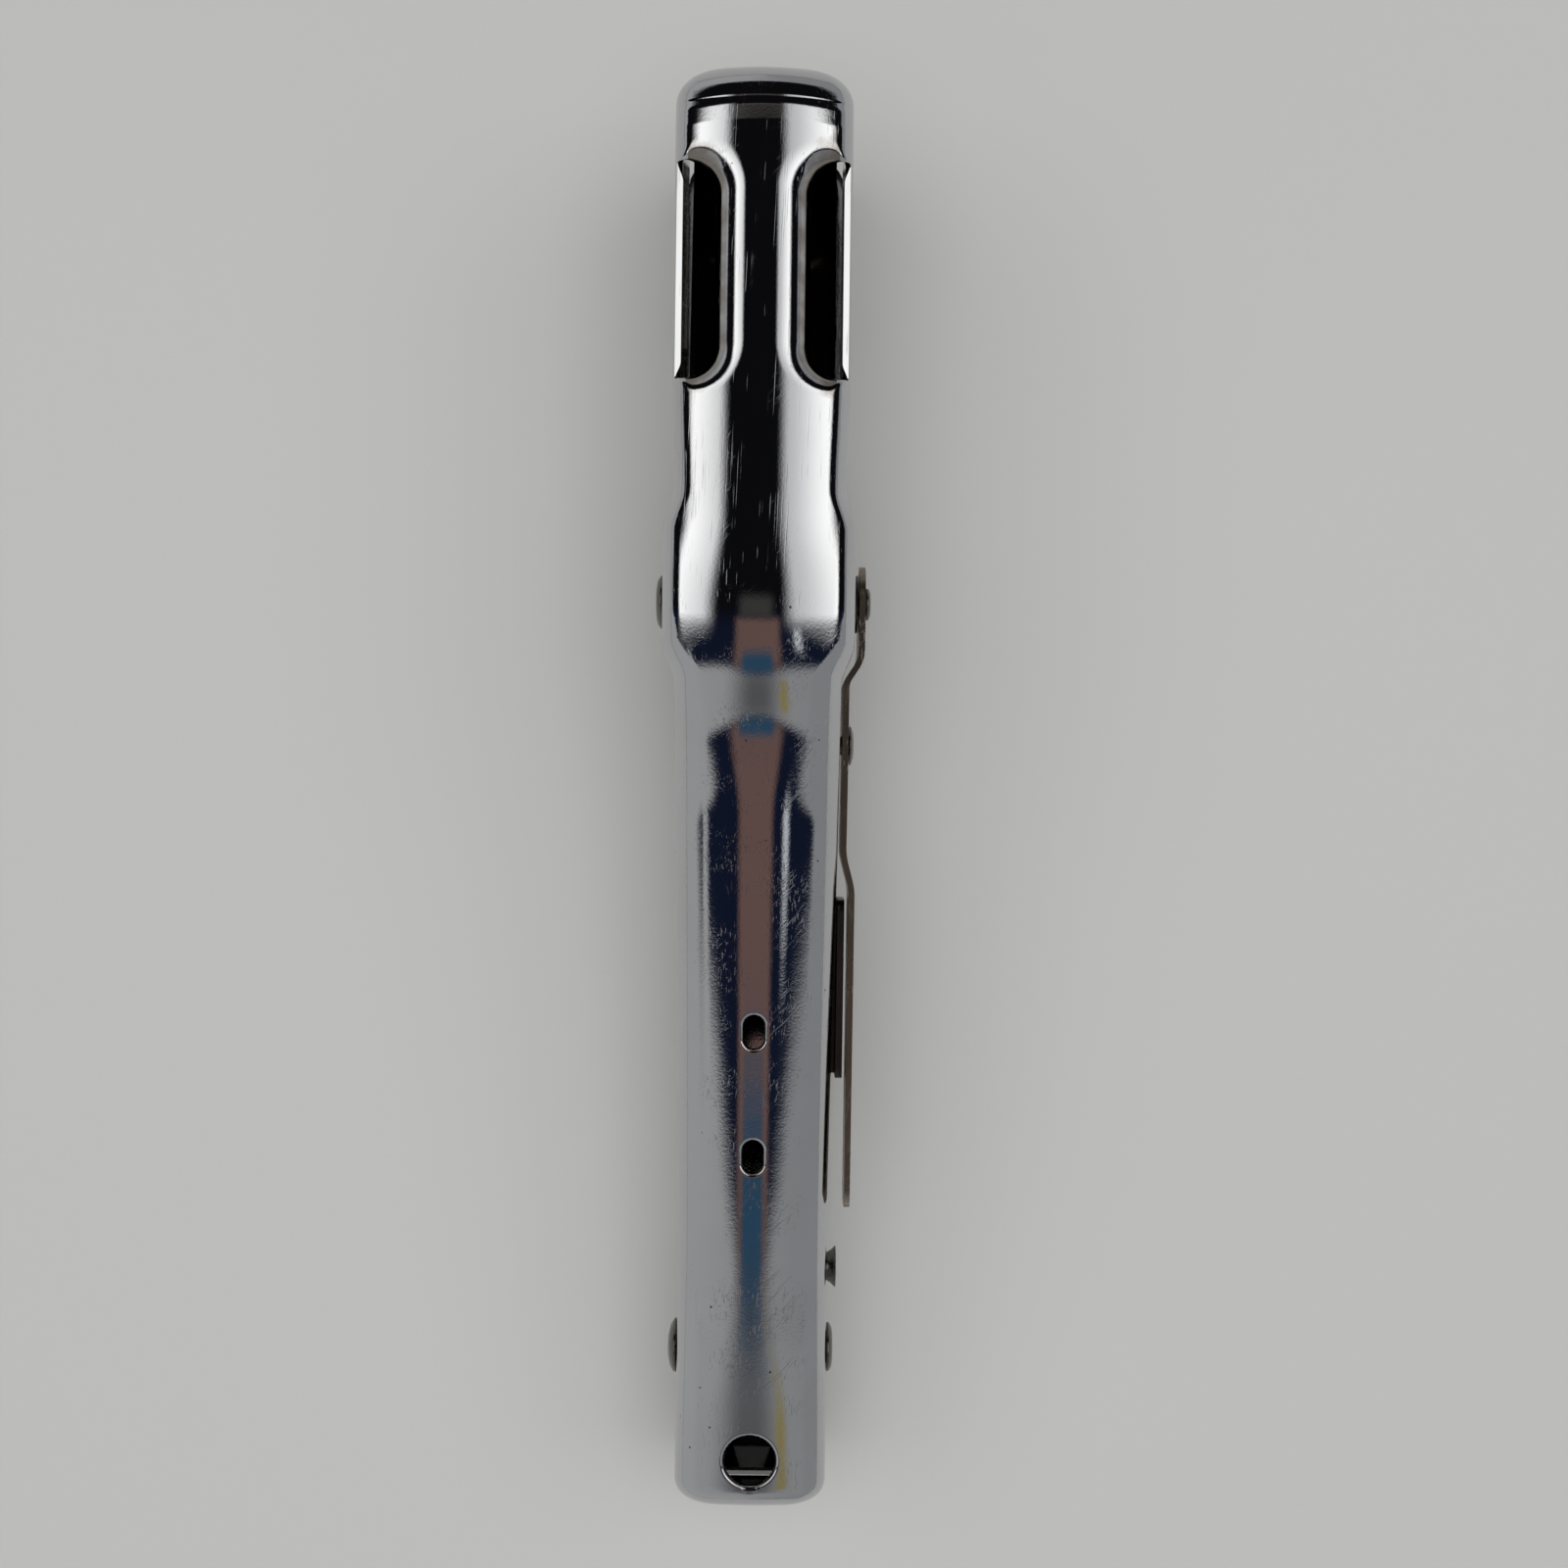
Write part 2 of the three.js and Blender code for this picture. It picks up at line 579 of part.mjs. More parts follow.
function topShell() {
  const outside = drawnForm(0, TAIL_Y, NOSE_Y, shellBottom);
  const inside = drawnForm(
    SHELL_SHEET, TAIL_Y + SHELL_SHEET, NOSE_Y - SHELL_SHEET, (y) => shellBottom(y) - 5);
  let shell = cut(outside, inside);
  const sill = HEAD_TOP - WINDOW_DEPTH;
  for (const side of [-1, 1]) {
    const opening = prism(windowOutline(side, 0), sill, HEAD_TOP + 1);
    const throughLip = prism(windowOutline(side, SHELL_SHEET), sill - 1, HEAD_TOP + 2);
    const lip = cut(
      prism(windowOutline(side, -SHELL_SHEET / 2), HEAD_TOP - LIP_DEPTH, HEAD_TOP + 1), throughLip);
    shell = join(cut(shell, opening), lip.intersect(outside));
  }
  for (const fromTail of SLOTS_FROM_TAIL) {
    const y = TAIL_Y + fromTail;
    const slot = obround(y, SLOT_WIDTH, SLOT_LENGTH);
    shell = cut(shell, prism(slot, shellTop(y) - 4, HEAD_TOP));
  }
  const holeY = TAIL_Y + HANG_HOLE_FROM_TAIL;
  const hangHole = circle(0, holeY, HANG_HOLE_DIAMETER / 2);
  return cut(
    shell,
    prism(hangHole, shellTop(holeY) - 5, HEAD_TOP),
    crossHole(PIN_DIAMETER, PIVOT.y, PIVOT.z),
    crossHole(TAIL_RIVET_DIAMETER, TAIL_RIVET_Y, middleOfWall(TAIL_RIVET_Y)),
    crossHole(ANCHOR_DIAMETER, ANCHOR_Y, middleOfWall(ANCHOR_Y), 0),
    crossHole(SMALL_RIVET_DIAMETER, STRIP_RIVET_Y, stripCentre(STRIP_RIVET_Y), 0),
  );
}

// The lower jaw, its pivot ears and the two arms that run back inside the handle.
function jawUnderside(y) {
  const start = JAW_FRONT - JAW_FLAT_LENGTH;
  const rise = clamp01((start - y) / (start - PIVOT.y + EAR_RADIUS * 0.8));
  return (PIVOT.z - EAR_RADIUS) * rise ** 1.6;
}

function anvilFrame() {
  const webEnd = PIVOT.y + JAW_WEB_END_AHEAD;
  const neckFront = PIVOT.y + EAR_RADIUS - 0.6;
  const neckRoot = PIVOT.y + NECK_ROOT_AHEAD;
  const earRear = PIVOT.y - EAR_RADIUS * 0.7;
  const jawRear = webEnd - 4;
  const blank = JAW_HEIGHT + 6;
  const jaw = outline(
    [JAW_FRONT, blank], [jawRear, blank], ...along(jawRear, JAW_FRONT, 12, jawUnderside));
  const jawTrim = rectangle(webEnd, -1, JAW_FRONT + 1, JAW_HEIGHT);
  const neck = outline(
    [neckFront, PIVOT.z - 2], [neckFront, JAW_HEIGHT, neckFront + NECK_SWEEP, JAW_HEIGHT],
    [neckRoot, JAW_HEIGHT], [neckRoot, jawUnderside(neckRoot)],
    ...along(neckRoot - 1, PIVOT.y, 8, jawUnderside), [earRear, PIVOT.z - EAR_RADIUS * 0.7],
    [PIVOT.y, PIVOT.z]);
  const overLever = (y) => (y > PIVOT.y - ARM_OVER_LEVER ? PIVOT.z - ARM_CLEAR_OF_LEVER : 0);
  const armLower = (y) => Math.max(shellBottom(y) + ARM_ABOVE_EDGE, overLever(y));
  const armUpper = (y) => Math.min(wallTop(y, SHELL_SHEET) + 0.6, PIVOT.z + EAR_RADIUS - 1.5);
  const armRear = TAIL_RIVET_Y - ARM_BEHIND_TAIL_RIVET;
  const arm = outline(...along(armRear, PIVOT.y, 24, armLower), ...along(PIVOT.y, armRear, 24, armUpper));
  const body = join(
    plate(jaw, -FRAME_HALF, FRAME_HALF, JAW_BEND).intersect(plate(jawTrim, -FRAME_HALF - 1, FRAME_HALF + 1)),
    plate(neck, -FRAME_HALF, FRAME_HALF),
    plate(circle(PIVOT.y, PIVOT.z, EAR_RADIUS), -FRAME_HALF, FRAME_HALF),
    plate(arm, -FRAME_HALF, FRAME_HALF),
  ).intersect(planBlock(frameOuter, JAW_FRONT, JAW_CORNER, -1, HEAD_TOP, armRear));
  const floor = along(JAW_FRONT - FRAME_SHEET, webEnd, 12, (y) => jawUnderside(y) + FRAME_SHEET);
  const hollow = outline(
    [JAW_FRONT - FRAME_SHEET, HEAD_TOP + 5], ...floor, [webEnd, -5], [TAIL_Y, -5], [TAIL_Y, HEAD_TOP + 5]);
  const inner = planBlock(
    (y) => frameOuter(y) - FRAME_SHEET, JAW_FRONT - FRAME_SHEET, JAW_CORNER - FRAME_SHEET,
    -2, HEAD_TOP + 1, TAIL_Y);
  return cut(
    body,
    plate(hollow, -FRAME_HALF, FRAME_HALF).intersect(inner),
    crossHole(PIN_DIAMETER, PIVOT.y, PIVOT.z),
    crossHole(TAIL_RIVET_DIAMETER, TAIL_RIVET_Y, middleOfWall(TAIL_RIVET_Y)),
    crossHole(ANCHOR_DIAMETER, ANCHOR_Y, middleOfWall(ANCHOR_Y)),
    crossHole(SMALL_RIVET_DIAMETER, STRIP_RIVET_Y, stripCentre(STRIP_RIVET_Y), 0),
    crossHole(SMALL_RIVET_DIAMETER, ANVIL_RIVET.y, ANVIL_RIVET.z),
    prism(circle(0, LIFT_RIVET_Y, SMALL_RIVET_DIAMETER / 2 + HOLE_GAP), -1, 3),
  );
}

const ANVIL_RIVET = { y: JAW_FRONT - ANVIL_RIVET_FROM_FRONT, z: JAW_HEIGHT / 2 };
const LIFT_RIVET_Y = JAW_FRONT - LIFT_RIVET_FROM_FRONT;
const STAPLE_EXIT_Y = PIVOT.y + Math.sqrt(DRIVER_RADIUS ** 2 - (PIVOT.z - ANVIL_TOP) ** 2);

// The clinch plate: a folded box that stands on the jaw's web between its walls.
function anvilPlate() {
  const half = FRAME_HALF - FRAME_SHEET - NEST_GAP;
  const front = JAW_FRONT - FRAME_SHEET - NEST_GAP;
  const rear = front - ANVIL_LENGTH;
  const corner = JAW_CORNER - FRAME_SHEET - NEST_GAP;
  const foot = FRAME_SHEET + SEAT_GAP;
  const block = planBlock(() => half, front, corner, foot, ANVIL_TOP, rear);
  const hollow = planBlock(
    () => half - ANVIL_SHEET, front - ANVIL_SHEET, corner - ANVIL_SHEET,
    foot - 1, ANVIL_TOP - ANVIL_SHEET, rear - 1);
  let piece = cut(block, hollow, crossHole(SMALL_RIVET_DIAMETER, ANVIL_RIVET.y, ANVIL_RIVET.z));
  const radius = (GROOVE_LENGTH ** 2 / 4 + GROOVE_DEPTH ** 2) / (2 * GROOVE_DEPTH);
  for (const side of [-1, 1]) {
    const wheel = new THREE.CylinderGeometry(radius, radius, GROOVE_WIDTH, 48);
    const x = side * (MAGAZINE_INNER - GROOVE_LENGTH / 2);
    piece = cut(piece, solid(wheel.translate(x, STAPLE_EXIT_Y, ANVIL_TOP + radius - GROOVE_DEPTH)));
  }
  return piece;
}

// A rivet across both walls: a domed head outside each wall.
function crossRivet(outer, diameter, heads, thicknesses, y, z) {
  const shank = diameter / 2;
  const [left, right] = heads.map((head) => head / 2);
  const [leftThick, rightThick] = thicknesses;
  const leftFace = -outer - SEAT_GAP;
  const rightFace = outer + SEAT_GAP;
  return turned([
    [leftFace - leftThick, 0], [leftFace - leftThick, left * 0.55],
    [leftFace - leftThick * 0.72, left * 0.86], [leftFace - leftThick * 0.3, left],
    [leftFace, left], [leftFace, shank],
    [rightFace, shank], [rightFace, right], [rightFace + rightThick * 0.3, right],
    [rightFace + rightThick * 0.72, right * 0.86], [rightFace + rightThick, right * 0.55],
    [rightFace + rightThick, 0],
  ], y, z);
}

function mainPivotPin() {
  const head = PIN_HEAD_DIAMETER / 2;
  const shank = PIN_DIAMETER / 2;
  const end = PIN_END_DIAMETER / 2;
  const peen = PIN_PEEN_DIAMETER / 2;
  const leftFace = -BULGE_HALF - SEAT_GAP;
  const shoulder = BULGE_HALF + SEAT_GAP / 2;
  const peenFace = STRIP_ON_PIN_X + STRIP_SHEET + SEAT_GAP;
  return turned([
    [leftFace - PIN_HEAD_THICKNESS, 0], [leftFace - PIN_HEAD_THICKNESS, head * 0.8],
    [leftFace - PIN_HEAD_THICKNESS * 0.8, head * 0.95], [leftFace - PIN_HEAD_THICKNESS * 0.5, head],
    [leftFace, head], [leftFace, shank], [shoulder, shank], [shoulder, end], [peenFace, end],
    [peenFace, peen], [peenFace + PIN_PEEN_THICKNESS * 0.6, peen * 0.95],
    [peenFace + PIN_PEEN_THICKNESS, peen * 0.6], [peenFace + PIN_PEEN_THICKNESS, 0],
  ], PIVOT.y, PIVOT.z);
}

// The strip is one spring-steel strip; its rear part flexes, so it is built as a foot and a blade.
function stripOutline(from, to, steps) {
  const inner = [];
  const outer = [];
  for (let i = 0; i <= steps; i += 1) {
    const y = mix(from, to, i / steps);
    inner.push([stripInner(y), y]);
    outer.push([stripInner(y) + STRIP_SHEET, y]);
  }
  return outline(outer[0], ...outer.slice(1), ...inner.reverse());
}

function stripSide(from, to) {
  const height = (y) => mix(STRIP_HEIGHTS[1], STRIP_HEIGHTS[0], (y - STRIP_END_Y) / STRIP_LENGTH);
  const corner = (y, sign) => [y, stripCentre(y) + sign * height(y) / 2];
  return outline(corner(from, -1), corner(to, -1), corner(to, 1), corner(from, 1));
}

function stripFoot() {
  const front = PIVOT.y + STRIP_AHEAD;
  const round = plate(circle(PIVOT.y, stripCentre(PIVOT.y), STRIP_AHEAD), 0, 30);
  const side = join(plate(stripSide(STRIP_BEND_Y + SEAT_GAP, PIVOT.y), 0, 30), round);
  return cut(
    prism(stripOutline(STRIP_BEND_Y, front, 30), 0, HEAD_TOP).intersect(side),
    crossHole(PIN_END_DIAMETER, PIVOT.y, PIVOT.z, 0),
    crossHole(SMALL_RIVET_DIAMETER, STRIP_RIVET_Y, stripCentre(STRIP_RIVET_Y), 0),
  );
}

function stripBlade() {
  const side = plate(stripSide(STRIP_END_Y, STRIP_BEND_Y - SEAT_GAP), 0, 30);
  return prism(stripOutline(STRIP_END_Y, STRIP_BEND_Y, 24), 0, HEAD_TOP).intersect(side);
}

function stripRivet() {
  const outside = stripInner(STRIP_RIVET_Y) + STRIP_SHEET + SEAT_GAP;
  const inside = armOuter(STRIP_RIVET_Y) - FRAME_SHEET - SEAT_GAP - 0.3;
  const shank = SMALL_RIVET_DIAMETER / 2;
  const head = STRIP_HEAD_DIAMETER / 2;
  const tail = SMALL_HEAD_DIAMETER / 2;
  return turned([
    [inside - SMALL_HEAD_THICKNESS, 0], [inside - SMALL_HEAD_THICKNESS, tail * 0.7], [inside, tail],
    [inside, shank], [outside, shank], [outside, head], [outside + SMALL_HEAD_THICKNESS * 0.5, head * 0.96],
    [outside + SMALL_HEAD_THICKNESS, head * 0.7], [outside + SMALL_HEAD_THICKNESS, 0],
  ], STRIP_RIVET_Y, stripCentre(STRIP_RIVET_Y));
}

function springAnchorPin() {
  const wall = shellHalf(ANCHOR_Y) + SEAT_GAP;
  const shank = ANCHOR_DIAMETER / 2;
  const flare = ANCHOR_FLARE_DIAMETER / 2;
  const blindEnd = -armOuter(ANCHOR_Y) + 0.1;
  return turned([
    [blindEnd, 0], [blindEnd, shank], [wall, shank], [wall + ANCHOR_FLARE_LENGTH * 0.6, flare * 0.82],
    [wall + ANCHOR_FLARE_LENGTH, flare], [wall + ANCHOR_FLARE_LENGTH, 0],
  ], ANCHOR_Y, middleOfWall(ANCHOR_Y));
}

// A round wire along a list of points.
function wire(points, radius, steps, sides) {
  const section = new THREE.Shape();
  for (let i = 0; i < sides; i += 1) {
    const angle = i / sides * 2 * Math.PI;
    const place = [radius * Math.cos(angle), radius * Math.sin(angle)];
    if (i === 0) section.moveTo(...place);
    else section.lineTo(...place);
  }
  const path = new THREE.CatmullRomCurve3(points, false, 'centripetal');
  return solid(new THREE.ExtrudeGeometry(section, { steps, extrudePath: path, bevelEnabled: false }));
}

// The torsion spring: a coil round the anchor pin, one leg up under the shell, one leg down on
// the lower handle's web.
function handleSpring() {
  const z = middleOfWall(ANCHOR_Y);
  const pitch = SPRING_WIRE + 0.25;
  const upperY = ANCHOR_Y + UPPER_LEG_REACH;
  const lowerY = ANCHOR_Y + LOWER_LEG_REACH;
  const upperZ = shellTop(upperY) - SHELL_SHEET - SPRING_WIRE / 2 - 0.4;
  const lowerZ = leverUnderside(lowerY) + LEVER_SHEET + SPRING_WIRE / 2 + 0.3;
  const start = -COIL_TURNS * pitch / 2;
  const points = [
    new THREE.Vector3(start, upperY, upperZ),
    new THREE.Vector3(start, mix(upperY, ANCHOR_Y, 0.5), mix(upperZ, z + COIL_RADIUS, 0.55)),
  ];
  const perTurn = 12;
  const count = COIL_TURNS * perTurn + perTurn / 2;
  for (let i = 0; i <= count; i += 1) {
    const angle = Math.PI / 2 + i / perTurn * 2 * Math.PI;
    const [y, up] = [COIL_RADIUS * Math.cos(angle), COIL_RADIUS * Math.sin(angle)];
    points.push(new THREE.Vector3(start + pitch * i / perTurn, ANCHOR_Y + y, z + up));
  }
  const endX = start + pitch * count / perTurn;
  points.push(new THREE.Vector3(endX, mix(ANCHOR_Y, lowerY, 0.5), mix(z - COIL_RADIUS, lowerZ, 0.62)));
  points.push(new THREE.Vector3(endX, lowerY, lowerZ));
  return wire(points, SPRING_WIRE / 2, 72, 6);
}

// A leaf on the jaw's web whose free end presses up under the magazine.
function magazineLiftSpring() {
  const thickness = LIFT_SPRING_SHEET;
  const low = FRAME_SHEET + SEAT_GAP;
  const high = MAGAZINE_BOTTOM - NEST_GAP - thickness;
  const front = LIFT_RIVET_Y + LIFT_SPRING_FOOT / 2;
  const bend = LIFT_RIVET_Y - LIFT_SPRING_FOOT / 2;
  const tip = bend - LIFT_SPRING_REACH;
  const rise = (share) => [mix(bend, tip, share), mix(low, high, smooth(0, 1, share))];
  const middle = mix(bend, tip, 0.5);
  const leaf = outline(
    [front, low], [front, low + thickness], [bend, low + thickness],
    [mix(bend, tip, 0.12), low + thickness, middle + 0.1, rise(0.5)[1] + thickness],
    [mix(bend, tip, 0.88), high + thickness, tip, high + thickness], [tip, high],
    [mix(bend, tip, 0.88), high, middle - 0.1, rise(0.5)[1]],
    [mix(bend, tip, 0.12), low, bend, low]);
  return cut(
    plate(leaf, -LIFT_SPRING_HALF, LIFT_SPRING_HALF),
    prism(circle(0, LIFT_RIVET_Y, SMALL_RIVET_DIAMETER / 2 + HOLE_GAP), -1, JAW_HEIGHT));
}

function liftSpringRivet() {
  const shank = SMALL_RIVET_DIAMETER / 2;
  const under = FRAME_SHEET + SEAT_GAP + LIFT_SPRING_SHEET + SEAT_GAP;
  const points = [[0, 0.2], [shank, 0.2], [shank, under], [SMALL_HEAD_DIAMETER / 2, under],
    [SMALL_HEAD_DIAMETER / 3, under + SMALL_HEAD_THICKNESS], [0, under + SMALL_HEAD_THICKNESS]];
  const geometry = new THREE.LatheGeometry(points.map(([r, h]) => new THREE.Vector2(r, h)), 16);
  return solid(geometry.rotateX(Math.PI / 2).translate(0, LIFT_RIVET_Y, 0));
}

// The lever. Its hood is the shell's own form, a gap smaller, turned down about the pivot by the
// opening angle; its handle is a trough whose edges stop short of the shell's.
function leverUnderside(y) {
  const flatEnd = TAIL_Y + HANDLE_FLAT_LENGTH;
  const webEnd = PIVOT.y - LEVER_WEB_END;
  return HANDLE_RISE * clamp01((y - flatEnd) / (webEnd - flatEnd)) ** 1.25;
}

function hood(inset, arcRadius, skirt) {
  const from = PIVOT.y + BULGE_AHEAD + BULGE_RAMP + HOOD_AHEAD_OF_BULGE;
  const form = drawnForm(inset, from, NOSE_Y - inset, () => PIVOT.z - 18);
  const turnedDown = form.translate([0, -PIVOT.y, -PIVOT.z])
    .rotate([-OPENING_DEGREES - HOOD_STOP_DEGREES, 0, 0])
    .translate([0, PIVOT.y, PIVOT.z]);
  const shape = new THREE.Shape();
  const skirtAngle = Math.asin((skirt - PIVOT.z) / arcRadius);
  shape.moveTo(PIVOT.y, skirt);
  shape.lineTo(PIVOT.y + arcRadius * Math.cos(skirtAngle), skirt);
  shape.absarc(PIVOT.y, PIVOT.z, arcRadius, skirtAngle, HOOD_FRONT_ANGLE, false);
  shape.lineTo(PIVOT.y, HEAD_TOP + 2);
  const plan = planBlock(
    (y) => shellHalf(y) - inset, NOSE_Y - inset, NOSE_CORNER - inset, 0, HEAD_TOP + 2, from - 1);
  return turnedDown.intersect(plate(shape, -BULGE_HALF, BULGE_HALF)).intersect(plan);
}

function handleLever() {
  const tail = TAIL_Y + 0.6;
  const handleEdge = (y) => shellBottom(y) - HANDLE_GAP;
  const webEnd = PIVOT.y - LEVER_WEB_END;
  const above = handleEdge(tail) + 20;
  const trough = outline(
    ...along(tail, webEnd + 4, 16, leverUnderside), [webEnd + 4, above], [tail, above]);
  const troughTrim = outline(
    [tail - 1, -1], [webEnd + 1, -1], ...along(webEnd + 1, tail - 1, 16, handleEdge));
  const earRadius = EAR_RADIUS - 0.6;
  const crossing = outline(
    [webEnd, handleEdge(webEnd)], [webEnd, leverUnderside(webEnd)],
    [PIVOT.y - 6, leverUnderside(webEnd) + 1, PIVOT.y + 6, PIVOT.z - 10],
    [PIVOT.y + 14, HOOD_SKIRT - 1, PIVOT.y + 24, HOOD_SKIRT], [PIVOT.y + 24, HOOD_SKIRT + 11],
    [PIVOT.y + 11, PIVOT.z + 8.5], [PIVOT.y, PIVOT.z + earRadius, PIVOT.y, PIVOT.z + earRadius],
    [PIVOT.y - earRadius, PIVOT.z + earRadius, PIVOT.y - earRadius, PIVOT.z],
    [PIVOT.y - earRadius - 0.2, PIVOT.z - 6, PIVOT.y - 9.5, PIVOT.z - 8.2],
    [webEnd + 2, handleEdge(webEnd)]);
  const troughInner = outline(
    ...along(tail + LEVER_SHEET, webEnd + 2, 16, (y) => leverUnderside(y) + LEVER_SHEET),
    [webEnd + 2, HEAD_TOP], [tail + LEVER_SHEET, HEAD_TOP]);
  const frontOuter = DRIVER_RADIUS + DRIVER_SHEET / 2 + DRIVER_GAP + LEVER_SHEET;
  const outer = join(
    plate(trough, -LEVER_HALF, LEVER_HALF, LEVER_BEND).intersect(plate(troughTrim, -LEVER_HALF, LEVER_HALF)),
    plate(crossing, -LEVER_HALF, LEVER_HALF),
    hood(HOOD_INSET, frontOuter, HOOD_SKIRT),
  );
  const hollowRear = plate(troughInner, -LEVER_INNER, LEVER_INNER);
  const crossingInner = outline(
    [webEnd, 0], [PIVOT.y + 20, 0], [PIVOT.y + 20, PIVOT.z + 5], [PIVOT.y + 14, PIVOT.z + 10.2],
    [PIVOT.y + 14, HEAD_TOP], [webEnd, HEAD_TOP]);
  const hollowCrossing = plate(crossingInner, -LEVER_INNER, LEVER_INNER);
  const hollowHood = hood(HOOD_INSET + LEVER_SHEET, frontOuter - LEVER_SHEET, HOOD_SKIRT - 4);
  const notchY = TAIL_Y + HANG_HOLE_FROM_TAIL;
  const notch = outline(
    [0, notchY + NOTCH_LENGTH * 0.42], [-NOTCH_WIDTH / 2, notchY - NOTCH_LENGTH * 0.58],
    [NOTCH_WIDTH / 2, notchY - NOTCH_LENGTH * 0.58]);
  return cut(
    outer, hollowRear, hollowCrossing, hollowHood,
    prism(notch, -1, LEVER_SHEET + 1),
    crossHole(PIN_DIAMETER, PIVOT.y, PIVOT.z),
    ...driverRivetHoles(),
    ...EAR_RIVETS.map(({ y, z }) => crossHole(SMALL_RIVET_DIAMETER, y, z, 0)),
  );
}

// The driver: a curved blade, an arc about the pivot, riveted inside the hood's front wall.
const DRIVER_RIVET_Z = PIVOT.z - DRIVER_RIVET_BELOW_PIVOT;
const DRIVER_RIVET_X = MAGAZINE_INNER / 2;
const DRIVER_INNER = DRIVER_RADIUS - DRIVER_SHEET / 2;
const DRIVER_OUTER = DRIVER_RADIUS + DRIVER_SHEET / 2;

// A bar of round section along Y.
function lengthwiseBar(radius, from, to, x, z, sides = 16) {
  const rod = new THREE.CylinderGeometry(radius, radius, to - from, sides);
  return solid(rod.translate(x, (from + to) / 2, z));
}

// Angle about the pivot at which a radius reaches a height.
const angleAt = (radius, z) => Math.asin((z - PIVOT.z) / radius);

function driverBlade() {
  const tip = MAGAZINE_BOTTOM + DRIVER_TIP_ABOVE_MAGAZINE_FLOOR;
  const top = PIVOT.z - DRIVER_TOP_BELOW_PIVOT;
  const shape = new THREE.Shape();
  const arc = (radius, from, to, clockwise) =>
    shape.absarc(PIVOT.y, PIVOT.z, radius, angleAt(radius, from), angleAt(radius, to), clockwise);
  arc(DRIVER_OUTER, tip, top, false);
  arc(DRIVER_INNER, top, tip, true);
  const half = MAGAZINE_INNER - NEST_GAP;
  return cut(plate(shape, -half, half), ...driverRivetHoles());
}

const driverRivetHoles = () => [-1, 1].map((side) => lengthwiseBar(
  DRIVER_RIVET_DIAMETER / 2 + HOLE_GAP, PIVOT.y + DRIVER_RADIUS - 6, NOSE_Y, side * DRIVER_RIVET_X,
  DRIVER_RIVET_Z));

function driverRivet(side) {
  const drop = PIVOT.z - DRIVER_RIVET_Z;
  const faceAt = (radius) => PIVOT.y + Math.sqrt(radius ** 2 - drop ** 2);
  const hoodFace = faceAt(DRIVER_OUTER + DRIVER_GAP + LEVER_SHEET) + SEAT_GAP;
  const bladeFace = faceAt(DRIVER_INNER) - SEAT_GAP - 0.1;
  const x = side * DRIVER_RIVET_X;
  const head = DRIVER_RIVET_DIAMETER * 0.85;
  return join(
    lengthwiseBar(head, bladeFace - 0.5, bladeFace, x, DRIVER_RIVET_Z),
    lengthwiseBar(DRIVER_RIVET_DIAMETER / 2, bladeFace - 0.2, hoodFace + 0.1, x, DRIVER_RIVET_Z),
    lengthwiseBar(head, hoodFace, hoodFace + 0.35, x, DRIVER_RIVET_Z),
  );
}

// The magazine: an upright channel with a curved front wall, hung on the pin by two ears.
const MAGAZINE_TOP = MAGAZINE_BOTTOM + MAGAZINE_WALL_HEIGHT;
const MAGAZINE_REAR_Y = PIVOT.y - MAGAZINE_REAR;
const FRONT_WALL_INNER = DRIVER_OUTER + DRIVER_GAP;

function magazineChannel() {
  const outerRadius = FRONT_WALL_INNER + MAGAZINE_SHEET;
  const side = new THREE.Shape();
  side.moveTo(MAGAZINE_REAR_Y, MAGAZINE_BOTTOM);
  side.absarc(
    PIVOT.y, PIVOT.z, outerRadius, angleAt(outerRadius, MAGAZINE_BOTTOM),
    angleAt(outerRadius, MAGAZINE_TOP), false);
  side.lineTo(PIVOT.y + MAGAZINE_EAR_SPREAD, MAGAZINE_TOP);
  side.quadraticCurveTo(
    PIVOT.y + MAGAZINE_EAR_RADIUS + 0.6, MAGAZINE_TOP, PIVOT.y + MAGAZINE_EAR_RADIUS, PIVOT.z);
  side.absarc(PIVOT.y, PIVOT.z, MAGAZINE_EAR_RADIUS, 0, Math.PI, false);
  side.quadraticCurveTo(
    PIVOT.y - MAGAZINE_EAR_RADIUS - 0.6, MAGAZINE_TOP, PIVOT.y - MAGAZINE_EAR_SPREAD, MAGAZINE_TOP);
  side.lineTo(MAGAZINE_REAR_Y, MAGAZINE_TOP);
  const mouthY = PIVOT.y + outerRadius - MAGAZINE_MOUTH;
  const hollow = new THREE.Shape();
  hollow.moveTo(MAGAZINE_REAR_Y - 1, MAGAZINE_BOTTOM + MAGAZINE_SHEET);
  hollow.lineTo(mouthY, MAGAZINE_BOTTOM + MAGAZINE_SHEET);
  hollow.lineTo(mouthY, MAGAZINE_BOTTOM - 2);
  hollow.absarc(
    PIVOT.y, PIVOT.z, FRONT_WALL_INNER, angleAt(FRONT_WALL_INNER, MAGAZINE_BOTTOM - 2),
    angleAt(FRONT_WALL_INNER, HEAD_TOP), false);
  hollow.lineTo(MAGAZINE_REAR_Y - 1, HEAD_TOP);
  return cut(
    plate(side, -MAGAZINE_HALF, MAGAZINE_HALF), plate(hollow, -MAGAZINE_INNER, MAGAZINE_INNER),
    crossHole(PIN_DIAMETER, PIVOT.y, PIVOT.z),
  );
}

function pivotSleeve() {
  const inner = PIN_DIAMETER / 2 + HOLE_GAP;
  return ring(inner, inner + 0.9, -MAGAZINE_INNER + SEAT_GAP, MAGAZINE_INNER - SEAT_GAP, PIVOT.y, PIVOT.z);
}

